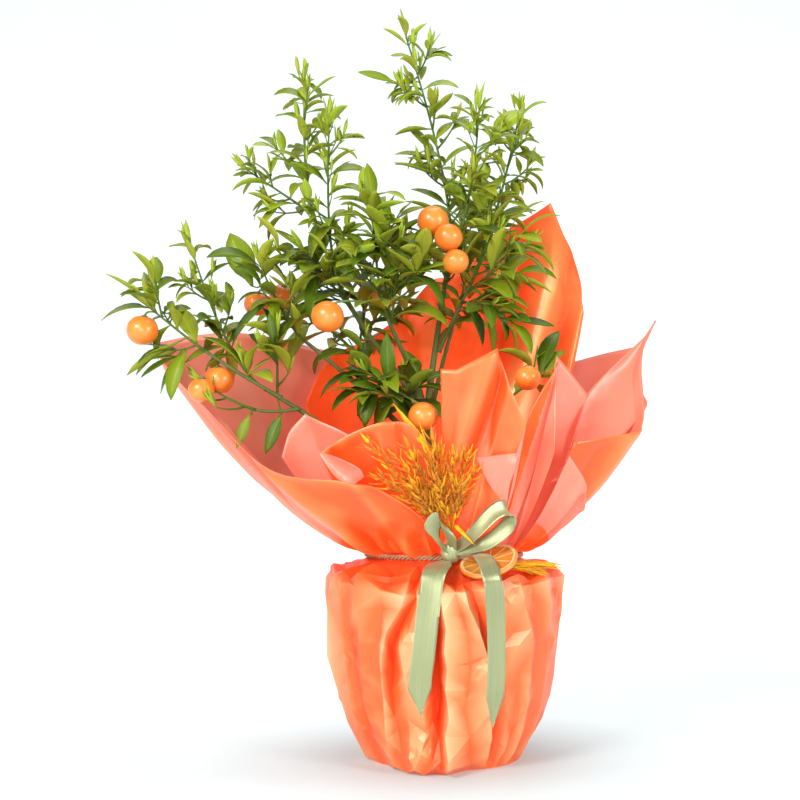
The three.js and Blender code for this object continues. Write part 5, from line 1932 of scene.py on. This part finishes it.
@dataclass
class StrawTuft:
    """Yellow straw that lies over the shoulder to the right of the knot."""

    foot: Triple = (50, -74, 167.8)  # where the straws start
    straws: int = 46  # how many there are
    seed: int = 8  # of everything that is drawn here

    def build(self) -> None:
        """Fans flat straws out to the right."""
        rng = random.Random(self.seed)
        pile = Pile(Blade(2, 6, husk_outline), 1)
        foot = mm(*self.foot)
        for _ in range(self.straws):
            aim = mm(rng.uniform(84, 94), rng.uniform(-66, -48), rng.uniform(155, 167))
            heading = (aim - foot + mm(0, 0, 9)).normalized()
            long = (aim - foot).length * rng.uniform(0.7, 1.12)
            start = foot + mm(rng.uniform(-9, 5), rng.uniform(-5, 2), rng.uniform(0.5, 3.5))
            wide, arch = rng.uniform(2.4, 5.4) * MM, rng.uniform(0.2, 0.6)
            twist = rng.uniform(-0.6, 0.6)
            pile.add(pile.blade.placed(start, heading, UP + FRONT * 0.6, long, wide, arch, 0.3, twist))
        carry(pile.piece("straws", [YELLOW_STRAW.material()]), "straw", "straw_tuft")


@dataclass
class CitrusSlice:
    """A dried slice of citrus under the bow, with its rind and sunken pulp."""

    radius: float = 24.5  # the slice's
    thick: float = 3.6  # at its rind
    middle: Triple = (34, -92, 174.55)  # where it lies
    tip: float = 0.43  # how far it is tipped to the front
    roll: float = -0.3  # how far it is rolled to the side
    around: int = 72  # steps round it

    def build(self) -> None:
        """Spins the slice's half section and lays it in place."""
        bm = bmesh.new()
        r, h = self.radius, self.thick / 2
        section = (
            (0, 0.55), (0.3, 0.5), (0.6, 0.5), (0.82, 0.55), (0.87, 0.95), (0.94, 1), (0.99, 0.7), (1, 0),
            (0.99, -0.7), (0.94, -1), (0.87, -0.95), (0.8, -0.55), (0, -0.55),
        )
        line = [bm.verts.new(mm(r * a, 0, h * b)) for a, b in section]
        edges = [bm.edges.new(pair) for pair in zip(line, line[1:])]
        bmesh.ops.spin(
            bm, geom=line + edges, axis=UP, cent=(0, 0, 0), angle=math.tau, steps=self.around,
            use_merge=True,
        )
        bmesh.ops.remove_doubles(bm, verts=bm.verts[:], dist=1e-6)
        unwrap(bm, lambda co: (co.x / MM / r / 2 + 0.5, co.y / MM / r / 2 + 0.5))
        for face in bm.faces:
            far = max(math.hypot(v.co.x, v.co.y) for v in face.verts) / MM
            level = abs(face.calc_center_median().z) / MM
            face.material_index = int(far > r * 0.985 or (far > r * 0.95 and level < h * 0.85))
        for v in bm.verts:
            a = math.atan2(v.co.y, v.co.x)
            v.co.z += 0.5 * MM * math.sin(2 * a + 1) * math.hypot(v.co.x, v.co.y) / (r * MM)
            v.co.xy *= 1 + 0.015 * math.sin(5 * a) + 0.01 * math.sin(9 * a + 2)
        turn = Matrix.Rotation(self.roll, 4, "Y") @ Matrix.Rotation(self.tip, 4, "X")
        bmesh.ops.transform(bm, matrix=Matrix.Translation(mm(*self.middle)) @ turn, verts=bm.verts[:])
        piece = piece_of("dried_slice", bm, [DRY_PULP.material(), DRY_PEEL.material()])
        carry(piece, "dry_slice", "citrus_slice")


# ---- studio
@dataclass(frozen=True)
class Lamp:
    """A square soft light that looks at the tree."""

    name: str  # its name
    place: Triple  # where it hangs
    size: float  # its side in metres
    power: float  # in watts
    colour: Triple  # red, green and blue

    def build(self, target: Vector) -> None:
        """Hangs the lamp and turns it to the target."""
        lamp = bpy.data.lights.new(self.name, "AREA")
        lamp.size, lamp.energy, lamp.color = self.size, self.power, self.colour
        holder = bpy.data.objects.new(self.name, lamp)
        holder.location = mm(*self.place)
        holder.rotation_euler = (target - mm(*self.place)).to_track_quat("-Z", "Y").to_euler()
        bpy.context.scene.collection.objects.link(holder)


@dataclass
class Studio:
    """A plain white sweep, soft lights and the camera."""

    lens: float = 57.5  # focal length on a 36 mm sensor
    eye: Triple = (-39.0, -1147.2, 233.4)  # the camera's place
    look_up: float = 4.0  # how far it looks up, in degrees
    target: Triple = (0, 0, 320)  # the place that the lamps look at
    lamps: tuple[Lamp, ...] = (  # the lamps
        Lamp("key", (-1000, -1400, 1100), 0.6, 28, (1.0, 0.98, 0.96)),
        Lamp("right", (1500, -1300, 700), 0.5, 20, (1.0, 0.99, 0.97)),
        Lamp("low", (-300, -2300, 400), 0.7, 16, (1.0, 0.99, 0.97)),
        Lamp("top", (100, 300, 1900), 1.2, 15, (1.0, 1.0, 1.0)),
    )
    sky: float = 0.24  # strength of the white sky
    near: float = -2.5  # the floor's end in front, in metres
    far: float = 4.5  # its end behind, in metres along its bend
    wide: float = 9.0  # its width in metres
    # where the floor starts to bend up to the wall, and the bend's radius, in metres
    curve: Pair = (1.6, 0.9)

    def build(self) -> None:
        """Sets the floor, the lights, the sky and the camera."""
        self.floor()
        for lamp in self.lamps:
            lamp.build(mm(*self.target))
        world = bpy.data.worlds.new("studio_sky")
        world.use_nodes = True
        sky = world.node_tree.nodes["Background"]
        sky.inputs["Color"].default_value = grey(1.0)
        sky.inputs["Strength"].default_value = self.sky
        scene = bpy.context.scene
        scene.world = world
        scene.view_settings.view_transform = "Standard"
        camera = bpy.data.cameras.new("camera")
        camera.lens = self.lens
        camera.sensor_width = 36.0
        holder = bpy.data.objects.new("camera", camera)
        holder.location = mm(*self.eye)
        holder.rotation_euler = (math.radians(90 + self.look_up), 0.0, 0.0)
        scene.collection.objects.link(holder)
        scene.camera = holder
        LOG.info("camera at %s", tuple(holder.location))

    def floor(self) -> None:
        """Makes the floor and the wall behind it from one bent strip."""
        start, radius = self.curve
        arc = 1.4  # the length of floor that the bend takes up
        bm = bmesh.new()
        bmesh.ops.create_grid(bm, x_segments=2, y_segments=48, size=0.5)
        for v in bm.verts:
            run = (v.co.y + 0.5) * (self.far - self.near) + self.near
            angle = clamp((run - start) / arc) * math.pi / 2
            past = max(0.0, run - start - arc)
            y = min(run, start) + radius * math.sin(angle)
            v.co = Vector((v.co.x * self.wide, y, radius * (1 - math.cos(angle)) + past))
        piece = piece_of("floor", bm, [FLOOR.material()], outward=False)


def dress_solids(frame: dict) -> None:
    """Gives the pot and the compost, which stay as they are, their finishes."""
    for node, finish in (("pot", POT_PLASTIC), ("soil", COMPOST)):
        mesh = frame["nodes"][node].data
        mesh.materials.clear()
        mesh.materials.append(finish.material())
        LOG.info("%s: dressed", node)


def film_tree(films: Sequence[Piece]) -> BVHTree:
    """A tree of the films' faces, to test leaves against."""
    bm = bmesh.new()
    for film in films:
        bm.from_mesh(film.data)
    made = BVHTree.FromBMesh(bm)
    bm.free()
    return made


def main() -> None:
    """Builds every sub-assembly in order."""
    logging.basicConfig(level=logging.INFO, format="%(name)s %(message)s")
    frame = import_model()
    for film in Film:
        MATERIALS[film] = film.value.material()
    MATERIALS["ribbon"] = RIBBON_SATIN.material()
    Studio().build()
    dress_solids(frame)
    films = [Skirt().build()]
    films += [sheet.build(3.7 * i) for i, sheet in enumerate(SHEETS)]
    films += [patch.build() for patch in PATCHES]
    Stems().build()
    Foliage(film_tree(films)).build()
    Twine().build()
    Bow().build()
    DriedGrass().build()
    StrawTuft().build()
    CitrusSlice().build()
    bpy.context.view_layer.update()


if __name__ == "__main__":
    main()
